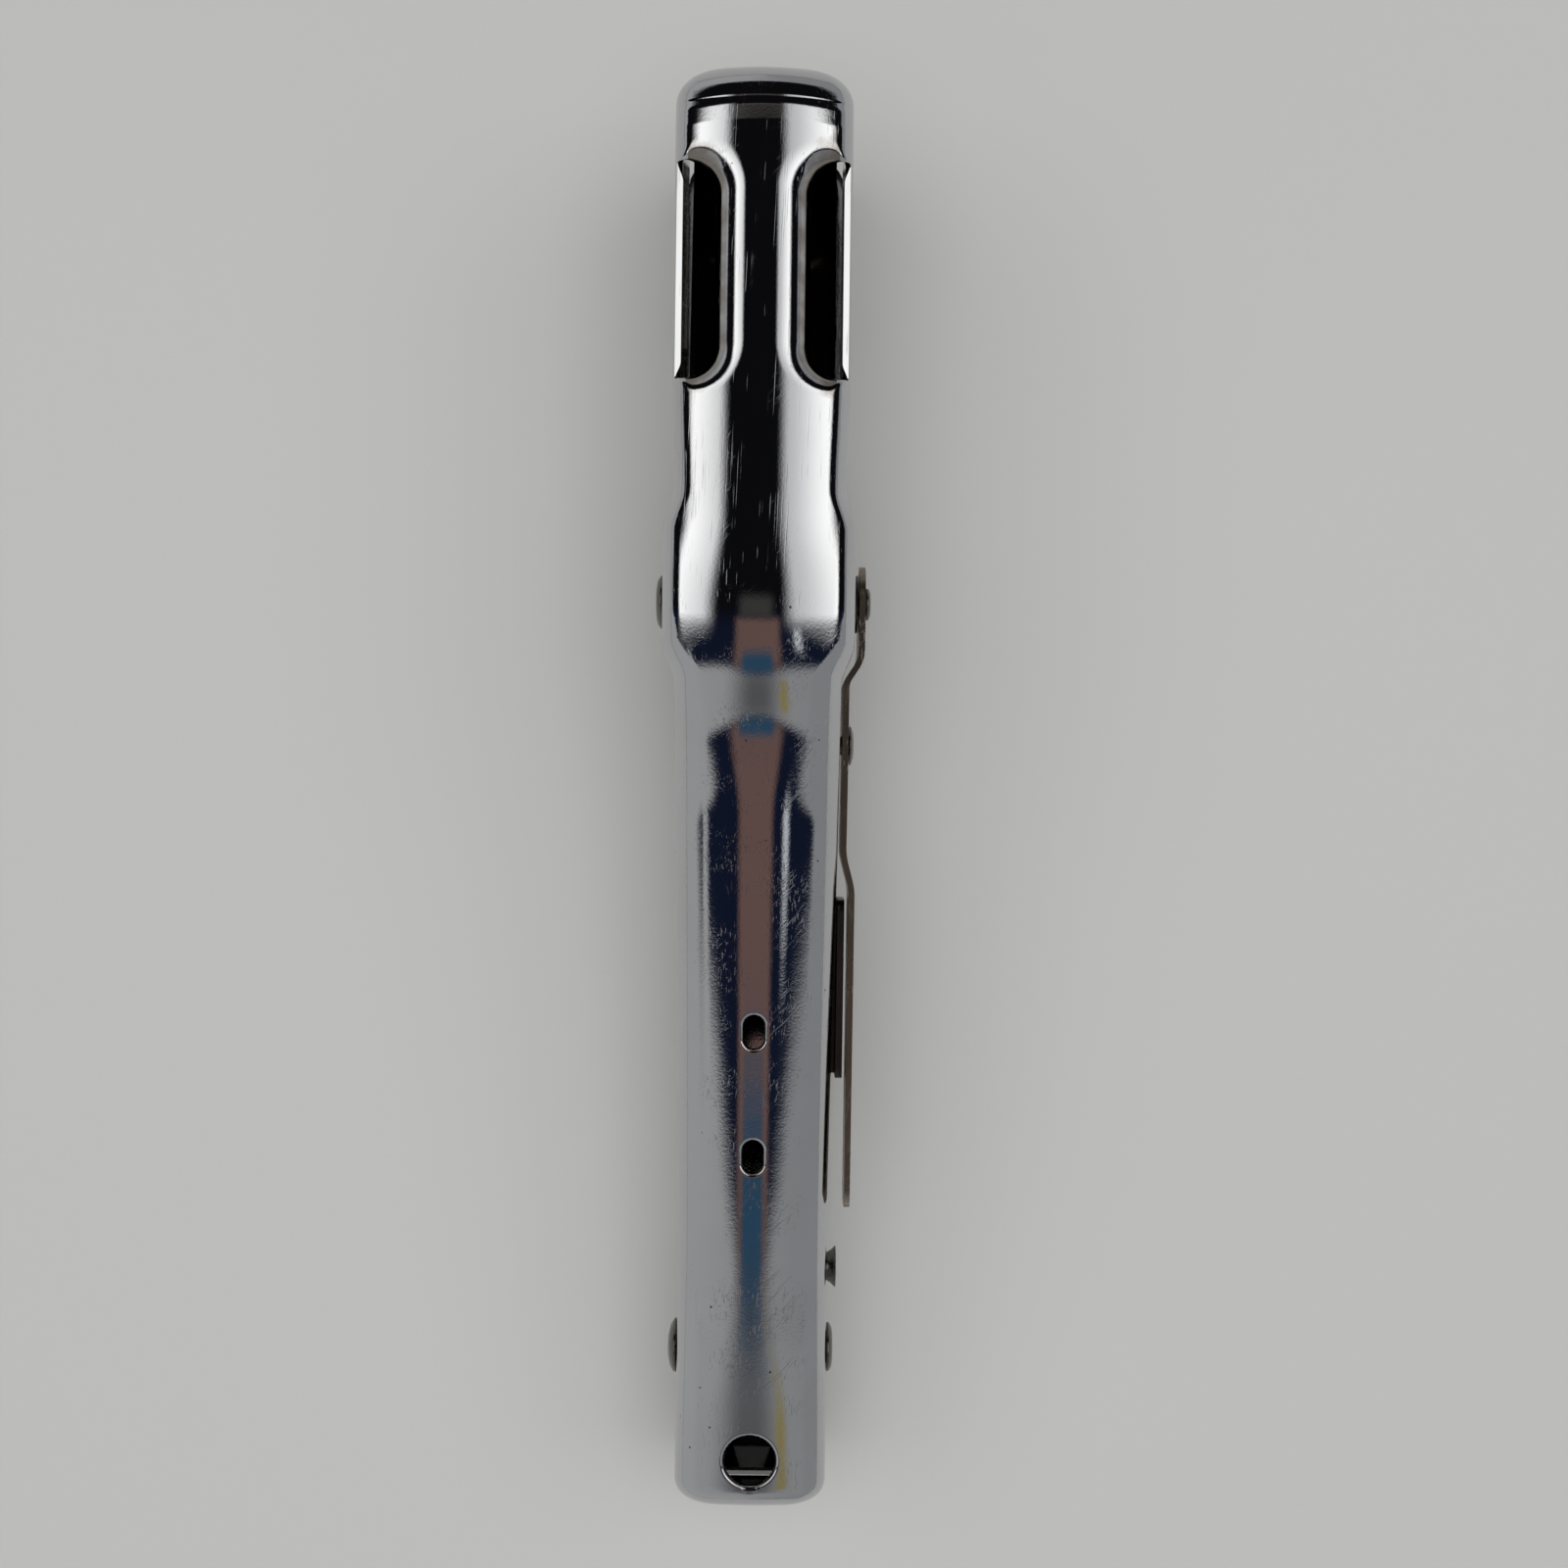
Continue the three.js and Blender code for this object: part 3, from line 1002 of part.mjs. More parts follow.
// The core rail that the staples straddle: a channel turned over on the magazine's web, slotted
// along its top for the follower.
const CORE_TOP = CORE_BOTTOM + CORE_HEIGHT;
const CORE_FRONT_RADIUS = DRIVER_INNER - DRIVER_GAP;
const SLOT_HALF = CORE_SLOT_WIDTH / 2;
const ROD_Z = CORE_BOTTOM + CORE_HEIGHT / 2 - 0.2;

function coreProfile(radius, rear, bottom, top) {
  const shape = new THREE.Shape();
  shape.moveTo(rear, bottom);
  shape.absarc(PIVOT.y, PIVOT.z, radius, angleAt(radius, bottom), angleAt(radius, top), false);
  shape.lineTo(rear, top);
  return shape;
}

function coreRail() {
  const inner = CORE_HALF - CORE_SHEET;
  const outside = plate(
    coreProfile(CORE_FRONT_RADIUS, MAGAZINE_REAR_Y, CORE_BOTTOM, CORE_TOP), -CORE_HALF, CORE_HALF);
  const inside = coreProfile(
    CORE_FRONT_RADIUS - CORE_SHEET, MAGAZINE_REAR_Y - 1, CORE_BOTTOM - 1, CORE_TOP - CORE_SHEET);
  const slot = rectangle(MAGAZINE_REAR_Y - 1, CORE_BOTTOM, PIVOT.y + DRIVER_RADIUS - 11, CORE_TOP + 1);
  return cut(outside, plate(inside, -inner, inner), plate(slot, -SLOT_HALF, SLOT_HALF));
}

const ROD_FRONT_Y = PIVOT.y + CORE_FRONT_RADIUS - 6;

function guideRod() {
  const headFace = MAGAZINE_REAR_Y - SEAT_GAP - MAGAZINE_SHEET - SEAT_GAP;
  return join(
    lengthwiseBar(ROD_DIAMETER / 2, headFace - 0.2, ROD_FRONT_Y, 0, ROD_Z),
    lengthwiseBar(ROD_DIAMETER, headFace - 0.9, headFace, 0, ROD_Z),
  );
}

function magazineEndPlug() {
  const plugHalf = CORE_HALF - CORE_SHEET - SEAT_GAP;
  const face = MAGAZINE_REAR_Y - SEAT_GAP;
  const flange = prism(
    rectangle(-MAGAZINE_HALF, face - MAGAZINE_SHEET, MAGAZINE_HALF, face), MAGAZINE_BOTTOM, MAGAZINE_TOP);
  const plug = prism(
    rectangle(-plugHalf, face - 0.1, plugHalf, face + PLUG_LENGTH),
    CORE_BOTTOM + SEAT_GAP, CORE_TOP - CORE_SHEET - SEAT_GAP);
  const hole = lengthwiseBar(ROD_DIAMETER / 2 + HOLE_GAP, face - 3, face + 6, 0, ROD_Z);
  return cut(join(flange, plug), hole);
}

// The follower straddles the core and reaches the spring through its slot.
const FOLLOWER_FRONT_Y = PIVOT.y + Math.sqrt(CORE_FRONT_RADIUS ** 2 - (PIVOT.z - CORE_BOTTOM) ** 2) - 0.4;
const FOLLOWER_REAR_Y = FOLLOWER_FRONT_Y - FOLLOWER_LENGTH;

function follower() {
  const inner = CORE_HALF + NEST_GAP;
  const outer = inner + FOLLOWER_SHEET;
  const top = CORE_TOP + NEST_GAP + FOLLOWER_SHEET;
  const length = (half) => rectangle(-half, FOLLOWER_REAR_Y, half, FOLLOWER_FRONT_Y);
  const blockLength = (half) => rectangle(-half, FOLLOWER_REAR_Y, half, FOLLOWER_REAR_Y + FOLLOWER_BLOCK);
  const saddle = cut(
    prism(length(outer), CORE_BOTTOM + 0.8, top), prism(
      rectangle(-inner, FOLLOWER_REAR_Y - 1, inner, FOLLOWER_FRONT_Y + 1), 0, top - FOLLOWER_SHEET));
  const block = join(
    prism(blockLength(SLOT_HALF - NEST_GAP), ROD_Z, top - 0.1),
    prism(blockLength(2.4), CORE_BOTTOM + 0.5, CORE_TOP - CORE_SHEET - NEST_GAP));
  const hole = lengthwiseBar(
    ROD_DIAMETER / 2 + 0.25, FOLLOWER_REAR_Y - 1, FOLLOWER_REAR_Y + FOLLOWER_BLOCK + 1, 0, ROD_Z);
  return cut(join(saddle, block), hole);
}

function followerSpring() {
  const from = MAGAZINE_REAR_Y + PLUG_LENGTH + NEST_GAP;
  const to = FOLLOWER_REAR_Y - NEST_GAP;
  const perTurn = 7;
  const count = FOLLOWER_SPRING_TURNS * perTurn;
  const points = [];
  for (let i = 0; i <= count; i += 1) {
    const angle = i / perTurn * 2 * Math.PI;
    const y = mix(from + FOLLOWER_SPRING_WIRE / 2, to - FOLLOWER_SPRING_WIRE / 2, i / count);
    points.push(new THREE.Vector3(
      FOLLOWER_SPRING_RADIUS * Math.cos(angle), y, ROD_Z + FOLLOWER_SPRING_RADIUS * Math.sin(angle)));
  }
  return wire(points, FOLLOWER_SPRING_WIRE / 2, count, 5);
}

// The ear plate on the lever's right wall, joggled out past the shell's edge.
const EAR_FRONT_Y = PIVOT.y - EAR_PLATE_START_BEHIND;
const EAR_REAR_Y = EAR_FRONT_Y - EAR_PLATE_LENGTH;
const EAR_RIVETS = [EAR_FRONT_Y - EAR_RIVET_FROM_END, EAR_REAR_Y + EAR_RIVET_FROM_END]
  .map((y) => ({ y, z: shellBottom(y) - HANDLE_GAP - EAR_RIVET_BELOW_EDGE }));

function latchEar() {
  const inner = LEVER_HALF + SEAT_GAP;
  const outside = shellHalf(EAR_FRONT_Y) + NEST_GAP;
  const band = (below, above) => outline(
    [EAR_REAR_Y, shellBottom(EAR_REAR_Y) + below], [EAR_FRONT_Y, shellBottom(EAR_FRONT_Y) + below],
    [EAR_FRONT_Y, shellBottom(EAR_FRONT_Y) + above - 1.5],
    [EAR_FRONT_Y, shellBottom(EAR_FRONT_Y) + above, EAR_FRONT_Y - 1.5, shellBottom(EAR_FRONT_Y) + above],
    [EAR_REAR_Y + 1.5, shellBottom(EAR_REAR_Y) + above],
    [EAR_REAR_Y, shellBottom(EAR_REAR_Y) + above, EAR_REAR_Y, shellBottom(EAR_REAR_Y) + above - 1.5]);
  const under = (below, above) => outline(
    [EAR_REAR_Y, shellBottom(EAR_REAR_Y) + below], [EAR_FRONT_Y, shellBottom(EAR_FRONT_Y) + below],
    [EAR_FRONT_Y, shellBottom(EAR_FRONT_Y) + above], [EAR_REAR_Y, shellBottom(EAR_REAR_Y) + above]);
  const step = -NEST_GAP;
  return cut(
    join(
      plate(under(-HANDLE_GAP - EAR_PLATE_DROP, step), inner, inner + EAR_PLATE_SHEET),
      plate(under(step - EAR_PLATE_SHEET, step), inner, outside + EAR_PLATE_SHEET),
      plate(band(step - EAR_PLATE_SHEET, EAR_PLATE_RISE), outside, outside + EAR_PLATE_SHEET),
    ),
    ...EAR_RIVETS.map(({ y, z }) => crossHole(SMALL_RIVET_DIAMETER, y, z, 0)),
  );
}

function latchEarRivet({ y, z }) {
  const shank = SMALL_RIVET_DIAMETER / 2;
  const head = SMALL_HEAD_DIAMETER / 2;
  const inside = LEVER_INNER - SEAT_GAP;
  const outside = LEVER_HALF + SEAT_GAP + EAR_PLATE_SHEET + SEAT_GAP;
  return turned([
    [inside - SMALL_HEAD_THICKNESS, 0], [inside - SMALL_HEAD_THICKNESS, head * 0.7], [inside, head],
    [inside, shank], [outside, shank], [outside, head], [outside + SMALL_HEAD_THICKNESS, head * 0.7],
    [outside + SMALL_HEAD_THICKNESS, 0],
  ], y, z, 16);
}

// Rigid frame.
addPiece('top_shell', topShell(), CHROME);
addPiece('anvil_frame', anvilFrame(), CHROME);
addPiece('anvil_plate', anvilPlate(), STEEL);
addPiece('anvil_rivet', crossRivet(
  FRAME_HALF, SMALL_RIVET_DIAMETER, [SMALL_HEAD_DIAMETER, SMALL_HEAD_DIAMETER],
  [SMALL_HEAD_THICKNESS, SMALL_HEAD_THICKNESS], ANVIL_RIVET.y, ANVIL_RIVET.z), DARK_STEEL);
addPiece('main_pivot_pin', mainPivotPin(), DARK_STEEL);
addPiece('pivot_washer', ring(
  PIN_END_DIAMETER / 2 + HOLE_GAP, WASHER_DIAMETER / 2, WASHER_X, WASHER_X + WASHER_THICKNESS,
  PIVOT.y, PIVOT.z), DARK_STEEL);
addPiece('strip_foot', stripFoot(), SPRING_STEEL);
addPiece('strip_rivet', stripRivet(), DARK_STEEL);
addPiece('spring_anchor_pin', springAnchorPin(), DARK_STEEL);
addPiece('handle_spring', handleSpring(), SPRING_STEEL);
addPiece('tail_rivet', crossRivet(
  shellHalf(TAIL_RIVET_Y), TAIL_RIVET_DIAMETER, TAIL_RIVET_HEADS, TAIL_RIVET_THICKNESSES,
  TAIL_RIVET_Y, middleOfWall(TAIL_RIVET_Y)), DARK_STEEL);
const SPACER_HALF = armOuter(TAIL_RIVET_Y) - FRAME_SHEET - SEAT_GAP;
addPiece('tail_spacer', ring(
  TAIL_RIVET_DIAMETER / 2 + HOLE_GAP, TAIL_RIVET_DIAMETER / 2 + 1, -SPACER_HALF, SPACER_HALF,
  TAIL_RIVET_Y, middleOfWall(TAIL_RIVET_Y)), STEEL);
addPiece('magazine_lift_spring', magazineLiftSpring(), SPRING_STEEL);
addPiece('lift_spring_rivet', liftSpringRivet(), STEEL);

// Lever.
addPiece('handle_lever', handleLever(), CHROME);
addPiece('latch_ear', latchEar(), DARK_STEEL);
addPiece('latch_ear_rivet_front', latchEarRivet(EAR_RIVETS[0]), DARK_STEEL);
addPiece('latch_ear_rivet_rear', latchEarRivet(EAR_RIVETS[1]), DARK_STEEL);
addPiece('driver_blade', driverBlade(), STEEL);
addPiece('driver_rivet_left', driverRivet(-1), DARK_STEEL);
addPiece('driver_rivet_right', driverRivet(1), DARK_STEEL);

// Magazine, follower and the strip's flexing blade.
addPiece('magazine_channel', magazineChannel(), STEEL);
addPiece('core_rail', coreRail(), STEEL);
addPiece('guide_rod', guideRod(), STEEL);
addPiece('magazine_end_plug', magazineEndPlug(), STEEL);
addPiece('pivot_sleeve', pivotSleeve(), STEEL);
addPiece('follower', follower(), STEEL);
addPiece('follower_spring', followerSpring(), SPRING_STEEL);
addPiece('strip_blade', stripBlade(), SPRING_STEEL);

export default object;
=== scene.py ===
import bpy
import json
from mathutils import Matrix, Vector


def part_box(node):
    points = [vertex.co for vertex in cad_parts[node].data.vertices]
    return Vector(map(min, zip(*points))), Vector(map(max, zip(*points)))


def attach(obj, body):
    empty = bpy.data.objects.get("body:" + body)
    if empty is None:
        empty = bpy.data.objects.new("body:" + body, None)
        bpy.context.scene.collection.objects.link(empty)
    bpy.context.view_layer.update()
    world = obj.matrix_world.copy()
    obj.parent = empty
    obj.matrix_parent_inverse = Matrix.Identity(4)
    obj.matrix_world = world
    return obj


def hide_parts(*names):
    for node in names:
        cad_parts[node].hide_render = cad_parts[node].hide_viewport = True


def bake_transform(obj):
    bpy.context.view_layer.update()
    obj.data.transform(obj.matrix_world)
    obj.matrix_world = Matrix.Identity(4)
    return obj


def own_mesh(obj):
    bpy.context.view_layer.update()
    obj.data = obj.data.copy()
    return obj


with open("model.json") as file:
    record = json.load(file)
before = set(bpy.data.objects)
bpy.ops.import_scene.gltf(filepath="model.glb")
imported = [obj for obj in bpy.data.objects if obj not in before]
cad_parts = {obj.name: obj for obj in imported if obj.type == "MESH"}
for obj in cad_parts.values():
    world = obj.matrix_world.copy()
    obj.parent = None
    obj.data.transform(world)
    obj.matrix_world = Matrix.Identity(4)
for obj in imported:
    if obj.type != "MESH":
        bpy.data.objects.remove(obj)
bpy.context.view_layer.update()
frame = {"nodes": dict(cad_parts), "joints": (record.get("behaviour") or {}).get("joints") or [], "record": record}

import json
import math
import bpy
import bmesh
import numpy as np

# ---- The bench and the light
# A pale bench top in a pale room. A black and navy cloth hangs over it, with two wide diffusers on
# either side of straight overhead, and a bare board, blue cloth and grey boards between them.
scene = bpy.context.scene
scene.view_settings.view_transform = "Standard"

sky = bpy.data.worlds.new("studio_sky")
scene.world = sky
sky.use_nodes = True


def add_node(tree, kind, **values):
    """A node of one kind; values name its properties, or its inputs with spaces as underscores."""
    node = tree.nodes.new(kind)
    for name, value in values.items():
        if hasattr(node, name):
            setattr(node, name, value)
        else:
            node.inputs[name.replace("_", " ")].default_value = value
    return node


def plug(tree, socket, value):
    """Wires a socket, or writes a plain number or colour into it."""
    if isinstance(value, bpy.types.NodeSocket):
        tree.links.new(value, socket)
    elif isinstance(value, tuple) and len(value) == 3 and len(socket.default_value) == 4:
        socket.default_value = (*value, 1)
    else:
        socket.default_value = value


def maths(tree, operation, first, second=None):
    """One sum in a shader."""
    node = add_node(tree, "ShaderNodeMath", operation=operation)
    plug(tree, node.inputs[0], first)
    if second is not None:
        plug(tree, node.inputs[1], second)
    return node.outputs[0]


def fade(tree, value, start, end):
    """0 up to start, 1 from end on, and smooth between."""
    node = add_node(tree, "ShaderNodeMapRange", interpolation_type="SMOOTHSTEP")
    plug(tree, node.inputs["Value"], value)
    node.inputs["From Min"].default_value = start
    node.inputs["From Max"].default_value = end
    return node.outputs[0]


def tint(tree, share, under, over):
    """One colour over another by a share."""
    node = add_node(tree, "ShaderNodeMix", data_type="RGBA")
    plug(tree, node.inputs["Factor"], share)
    plug(tree, node.inputs["A"], under)
    plug(tree, node.inputs["B"], over)
    return node.outputs["Result"]


tree = sky.node_tree
direction = add_node(tree, "ShaderNodeSeparateXYZ")
tree.links.new(add_node(tree, "ShaderNodeTexCoord").outputs["Generated"], direction.inputs[0])
across, along, up = direction.outputs
lean_across = maths(tree, "DEGREES", maths(tree, "ARCTAN2", across, up))
lean_along = maths(tree, "DEGREES", maths(tree, "ARCTAN2", along, up))
overhead = maths(tree, "ABSOLUTE", lean_across)


def panel(middle_across, middle_along, half_across, half_along, soft):
    """A soft-edged panel of the sky. Its place and size are degrees from straight overhead."""
    off_across = maths(tree, "ABSOLUTE", maths(tree, "SUBTRACT", lean_across, middle_across))
    off_along = maths(tree, "ABSOLUTE", maths(tree, "SUBTRACT", lean_along, middle_along))
    return maths(tree, "MULTIPLY", fade(tree, off_across, half_across + soft, half_across - soft),
                 fade(tree, off_along, half_along + soft, half_along - soft))


black_cloth = (0.0055, 0.0055, 0.007)
navy_cloth = (0.008, 0.012, 0.03)
blue_cloth = (0.03, 0.085, 0.15)
bare_wood = (0.19, 0.115, 0.10)
yellow_strap = (0.33, 0.27, 0.09)
left_wall, right_wall, doorway = (0.47, 0.475, 0.475), (0.33, 0.335, 0.345), (0.13, 0.13, 0.135)
dark_board, nose_board, side_board = (0.06, 0.058, 0.055), (0.08, 0.077, 0.07), (0.1, 0.1, 0.11)
diffuser_middle, diffuser_side = (0.8, 0.8, 0.81), (1.75, 1.74, 1.7)
left_gap, right_gap = (0.5, 0.5, 0.5), (0.7, 0.72, 0.75)

# The room: its walls, a dark doorway at the tail end and a strap that hangs beside it.
walls = tint(tree, fade(tree, lean_across, -55, 45), left_wall, right_wall)
walls = tint(tree, panel(-1, -42, 10, 16, 8), walls, doorway)
walls = tint(tree, panel(12, -38, 1.8, 7, 1.8), walls, yellow_strap)

# The cloth turns from black to navy toward the tail, and its rear hem sags in the middle.
off_middle = maths(tree, "MINIMUM", maths(tree, "ABSOLUTE", maths(tree, "ADD", lean_across, 1.0)), 30.0)
hem = maths(tree, "SUBTRACT", lean_along, maths(tree, "MULTIPLY", off_middle, 0.125))
hung = maths(tree, "MULTIPLY", fade(tree, hem, -31.5, -28), panel(0, 0, 83, 63, 4))
cloth = tint(tree, fade(tree, lean_along, -6, -22), black_cloth, navy_cloth)
sky_colour = tint(tree, hung, walls, cloth)

# What hangs under the cloth, each over the one before: its middle, its half sizes and how soft its
# edge is, all in degrees, and its colour. The last two are gaps where daylight comes in.
diffuser = tint(tree, fade(tree, overhead, 17, 56), diffuser_middle, diffuser_side)
for spot, colour in [
        ((-1, -21, 12, 7, 2.5), bare_wood), ((-1, -27, 8, 2.5, 2), blue_cloth),
        ((-2, -9, 9, 5, 3), dark_board), ((0, 27.5, 26, 2.5, 2), nose_board),
        ((-52, -22, 9, 5, 4), side_board), ((-42, 9, 14, 25, 5), diffuser),
        ((36.5, 9, 20, 25, 5), diffuser), ((-38.5, -24.5, 2, 3, 1.8), left_gap),
        ((21, -20.5, 2, 2.4, 1.6), right_gap)]:
    sky_colour = tint(tree, panel(*spot), sky_colour, colour)
tree.links.new(sky_colour, tree.nodes["Background"].inputs["Color"])

ceiling = bpy.data.lights.new("ceiling_light", "AREA")
ceiling.shape = "DISK"
ceiling.size = 1.6
ceiling.energy = 13.5
ceiling_lamp = bpy.data.objects.new("ceiling_light", ceiling)
ceiling_lamp.location = (0, 0, 1.5)
ceiling_lamp.visible_glossy = False
scene.collection.objects.link(ceiling_lamp)

# The bench top lies a hair under the tool, so that their flat faces stay apart.
bench_reach, bench_height = 4.0, -0.00005
bench_mesh = bpy.data.meshes.new("bench_top")
bench_mesh.from_pydata([(bench_reach * x, bench_reach * y, bench_height)
                        for x, y in ((-1, -1), (1, -1), (1, 1), (-1, 1))], [], [(0, 1, 2, 3)])
bench = bpy.data.objects.new("bench_top", bench_mesh)
scene.collection.objects.link(bench)
bench_paint = bpy.data.materials.new("bench_paint")
bench_paint.use_nodes = True
paint = bench_paint.node_tree.nodes["Principled BSDF"]
paint.inputs["Base Color"].default_value = (0.60, 0.60, 0.585, 1)
paint.inputs["Roughness"].default_value = 0.7
paint.inputs["Specular IOR Level"].default_value = 0.2
bench_mesh.materials.append(bench_paint)

lens = bpy.data.cameras.new("bench_camera")
lens.lens = 45.07
lens.sensor_width = 36
camera = bpy.data.objects.new("bench_camera", lens)
camera.location = (0.0033, 0.0033, 0.272)
camera.rotation_euler = (0, 0, math.radians(0.72))
scene.collection.objects.link(camera)
scene.camera = camera

# ---- The drawn top shell
# One sheet of 0.8 mm steel, deep drawn, polished and chrome plated. It is the head with its two
# windows, the bulge over the pivot, the saddle, the crowned handle and the flat tail.
# Sizes from here on are in millimetres.
shell_low, shell_high = (corner * 1000 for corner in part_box("top_shell"))
nose, tail, head_top = shell_high.y, shell_low.y, shell_high.z
hinge = next(joint for joint in frame["joints"] if joint["name"] == "handle_hinge")
pivot_y, pivot_z = hinge["pos_m"][1] * 1000, hinge["pos_m"][2] * 1000


def cross_place(node):
    """Where the middle of a cross pin or rivet stands, along the tool and above the bench."""
    low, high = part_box(node)
    return ((low + high) * 500).yz


tail_rivet_y, tail_rivet_z = cross_place("tail_rivet")
anchor_y, anchor_z = cross_place("spring_anchor_pin")
strip_rivet_y, strip_rivet_z = cross_place("strip_rivet")

sheet = 0.8
head_half = 10.5

# Steps out from the head's half width, down the tool from the tail to the head.
tail_step, waist_step, handle_step = -0.85, -1.1, -0.4
bulge_step, neck_step, head_step = 1.1, -0.15, 0.2

# Depths of the side walls: two below the handle's line, then two below the top of the head.
tail_depth, saddle_depth, pivot_depth, head_depth = 11.5, 14.5, 26.5, 24
handle_drop, handle_slope = 7, 0.115
tail_shoulder, saddle_shoulder, head_shoulder = 3.6, 5.2, 4
tail_edge, nose_corner = 3.4, 4.5
bulge_rear, bulge_front = pivot_y - 5.5, pivot_y + 7.5
waist_y = tail + 30
window_front, window_rear = nose - 11.7, nose - 37.6
saddle_rear = pivot_y - 16.8
hole_y = tail + 6.8


def ease(start, end, at):
    """0 up to start, 1 from end on, and smooth between."""
    share = np.clip((at - start) / (end - start), 0, 1)
    return share * share * (3 - 2 * share)


def between(first, second, share):
    """A share of the way from the first value to the second."""
    return first + (second - first) * share


def shell_half(y):
    """Half width of the shell in plan: head, neck, bulge, handle, waist and tail."""
    step = between(tail_step, waist_step, ease(tail + tail_edge, waist_y, y))
    step = between(step, handle_step, ease(waist_y, saddle_rear - 1, y))
    step = between(step, bulge_step, ease(bulge_rear - 5, bulge_rear, y))
    step = between(step, neck_step, ease(bulge_front, bulge_front + 5, y))
    step = between(step, head_step, ease(bulge_front + 5, window_rear, y))
    return head_half + step


def handle_line(y):
    """The straight line that the top of the handle follows."""
    return head_top - handle_drop + (y - saddle_rear) * handle_slope


# How steeply the top line falls toward the tail, in degrees, at places behind and ahead of the
# pivot: level on the head, steepest in the saddle, easing into the straight handle.
slope_places = pivot_y + np.array([tail - pivot_y, -71.0, -46.0, -26.0, -17.5, -12.2, -4.4, 0.0, 6.0])
slopes = np.tan(np.radians([6.6, 7.3, 8.4, 9.6, 11.8, 18.4, 11.5, 3.6, 0.0]))
line_y = np.linspace(slope_places[0], slope_places[-1], 800)
line_fall = np.cumsum(np.interp(line_y, slope_places, slopes)[::-1])[::-1] * (line_y[1] - line_y[0])
line_fall = line_fall * (head_top - handle_line(slope_places[0])) / line_fall[0]


def shell_top(y):
    """Height of the crown line."""
    return head_top - np.interp(y, line_y, line_fall)


def shell_bottom(y):
    """Height of the lower edge: deepest across the pivot, shallowest at the tail."""
    depth = between(tail_depth, saddle_depth, np.clip((y - tail) / (saddle_rear - tail), 0, 1))
    behind = between(handle_line(y) - depth, head_top - pivot_depth, ease(saddle_rear, bulge_rear, y))
    return between(behind, head_top - head_depth, ease(bulge_front, bulge_front + 12, y))


def shoulder_radius(y):
    """Radius between the crown and the side walls: small at the tail, largest in the saddle."""
    behind = between(tail_shoulder, saddle_shoulder, ease(hole_y, saddle_rear - 4, y))
    return between(behind, head_shoulder, ease(saddle_rear - 4, pivot_y, y))


# The crown is nearly flat at the tail and across the saddle, and round on the handle and the head.
crown_places = pivot_y + np.array([-115.0, -104.0, -84.0, -60.0, -27.0, -14.0, -3.0, 10.0, 64.0])
crown_radii = [44.0, 40.0, 19.5, 19.0, 20.5, 34.0, 26.0, 19.0, 18.0]


def crown_radius(y):
    """Radius of the crowned top, easing from each place to the next."""
    radius = np.full(np.shape(y), crown_radii[0])
    for k in range(1, len(crown_radii)):
        radius = between(radius, crown_radii[k], ease(crown_places[k - 1], crown_places[k], y))
    return radius


def lowest_of(first, second, blend):
    """The lower of two heights, with the corner between them rounded."""
    share = np.clip(0.5 + (second - first) / (2 * blend), 0, 1)
    return between(second, first, share) - blend * share * (1 - share)


def nose_fall(ahead):
    """How far the top has come down, a distance short of the nose: an arc, then two slopes."""
    radius, bend, crease, flat = 5.2, 3.4, 5.8, 7.8
    steep_slope, gentle_slope = math.tan(math.radians(13)), math.tan(math.radians(3))
    arc = np.sqrt(np.maximum(radius ** 2 - np.maximum(radius - ahead, 0) ** 2, 0))
    at_bend = math.sqrt(radius ** 2 - (radius - bend) ** 2)
    arc = np.where(ahead < bend, arc, at_bend + (radius - bend) / at_bend * (ahead - bend))
    steep = at_bend + steep_slope * (ahead - bend)
    at_crease = at_bend + steep_slope * (crease - bend)
    gentle = at_crease + gentle_slope * (ahead - crease)
    level = at_crease + gentle_slope * (flat - crease)
    fall = level - lowest_of(lowest_of(lowest_of(arc, steep, 0.1), gentle, 0.04), level, 0.004)
    pressed_step = 0.045
    return fall - pressed_step * (1 - ease(4.65, 5.0, ahead))


def corner_fall(radius, distance):
    """How far a rounded edge stands back, a distance in from where it starts."""
    short = np.clip(radius - distance, 0, radius)
    return radius - np.sqrt(np.maximum(radius ** 2 - short ** 2, 0))


def shell_section(y):
    """Half width, top height, shoulder radius and crown radius of the drawn form."""
    tail_cut = corner_fall(tail_edge, y - tail)
    half = shell_half(y) - corner_fall(nose_corner, nose - y) - tail_cut
    top = shell_top(y) - nose_fall(nose - y) - tail_cut
    return half, top, shoulder_radius(y), crown_radius(y)


def on_section(half, top, shoulder, crown, run):
    """A point on the section, at a distance run round it from the top."""
    lean = np.arcsin((half - shoulder) / (crown - shoulder))
    crown_run = crown * lean
    side_run = crown_run + shoulder * (math.pi / 2 - lean)
    far = np.abs(run)
    past_crown = np.minimum(lean + (far - crown_run) / shoulder, math.pi / 2)
    angle = np.where(far < crown_run, far / crown, past_crown)
    radius = np.where(far < crown_run, crown, shoulder)
    middle_x = np.where(far < crown_run, 0, (crown - shoulder) * np.sin(lean))
    middle_z = np.where(far < crown_run, top - crown, top - crown + (crown - shoulder) * np.cos(lean))
    x = (middle_x + radius * np.sin(angle)) * np.sign(run)
    z = middle_z + radius * np.cos(angle) - np.maximum(far - side_run, 0)
    return x, z


def runs_of(half, top, shoulder, crown, bottom):
    """Distance round the section to the shoulder, to the side wall and to the lower edge."""
    lean = np.arcsin((half - shoulder) / (crown - shoulder))
    crown_run = crown * lean
    side_run = crown_run + shoulder * (math.pi / 2 - lean)
    wall_top = top - crown + (crown - shoulder) * np.cos(lean)
    return crown_run, side_run, side_run + wall_top - bottom


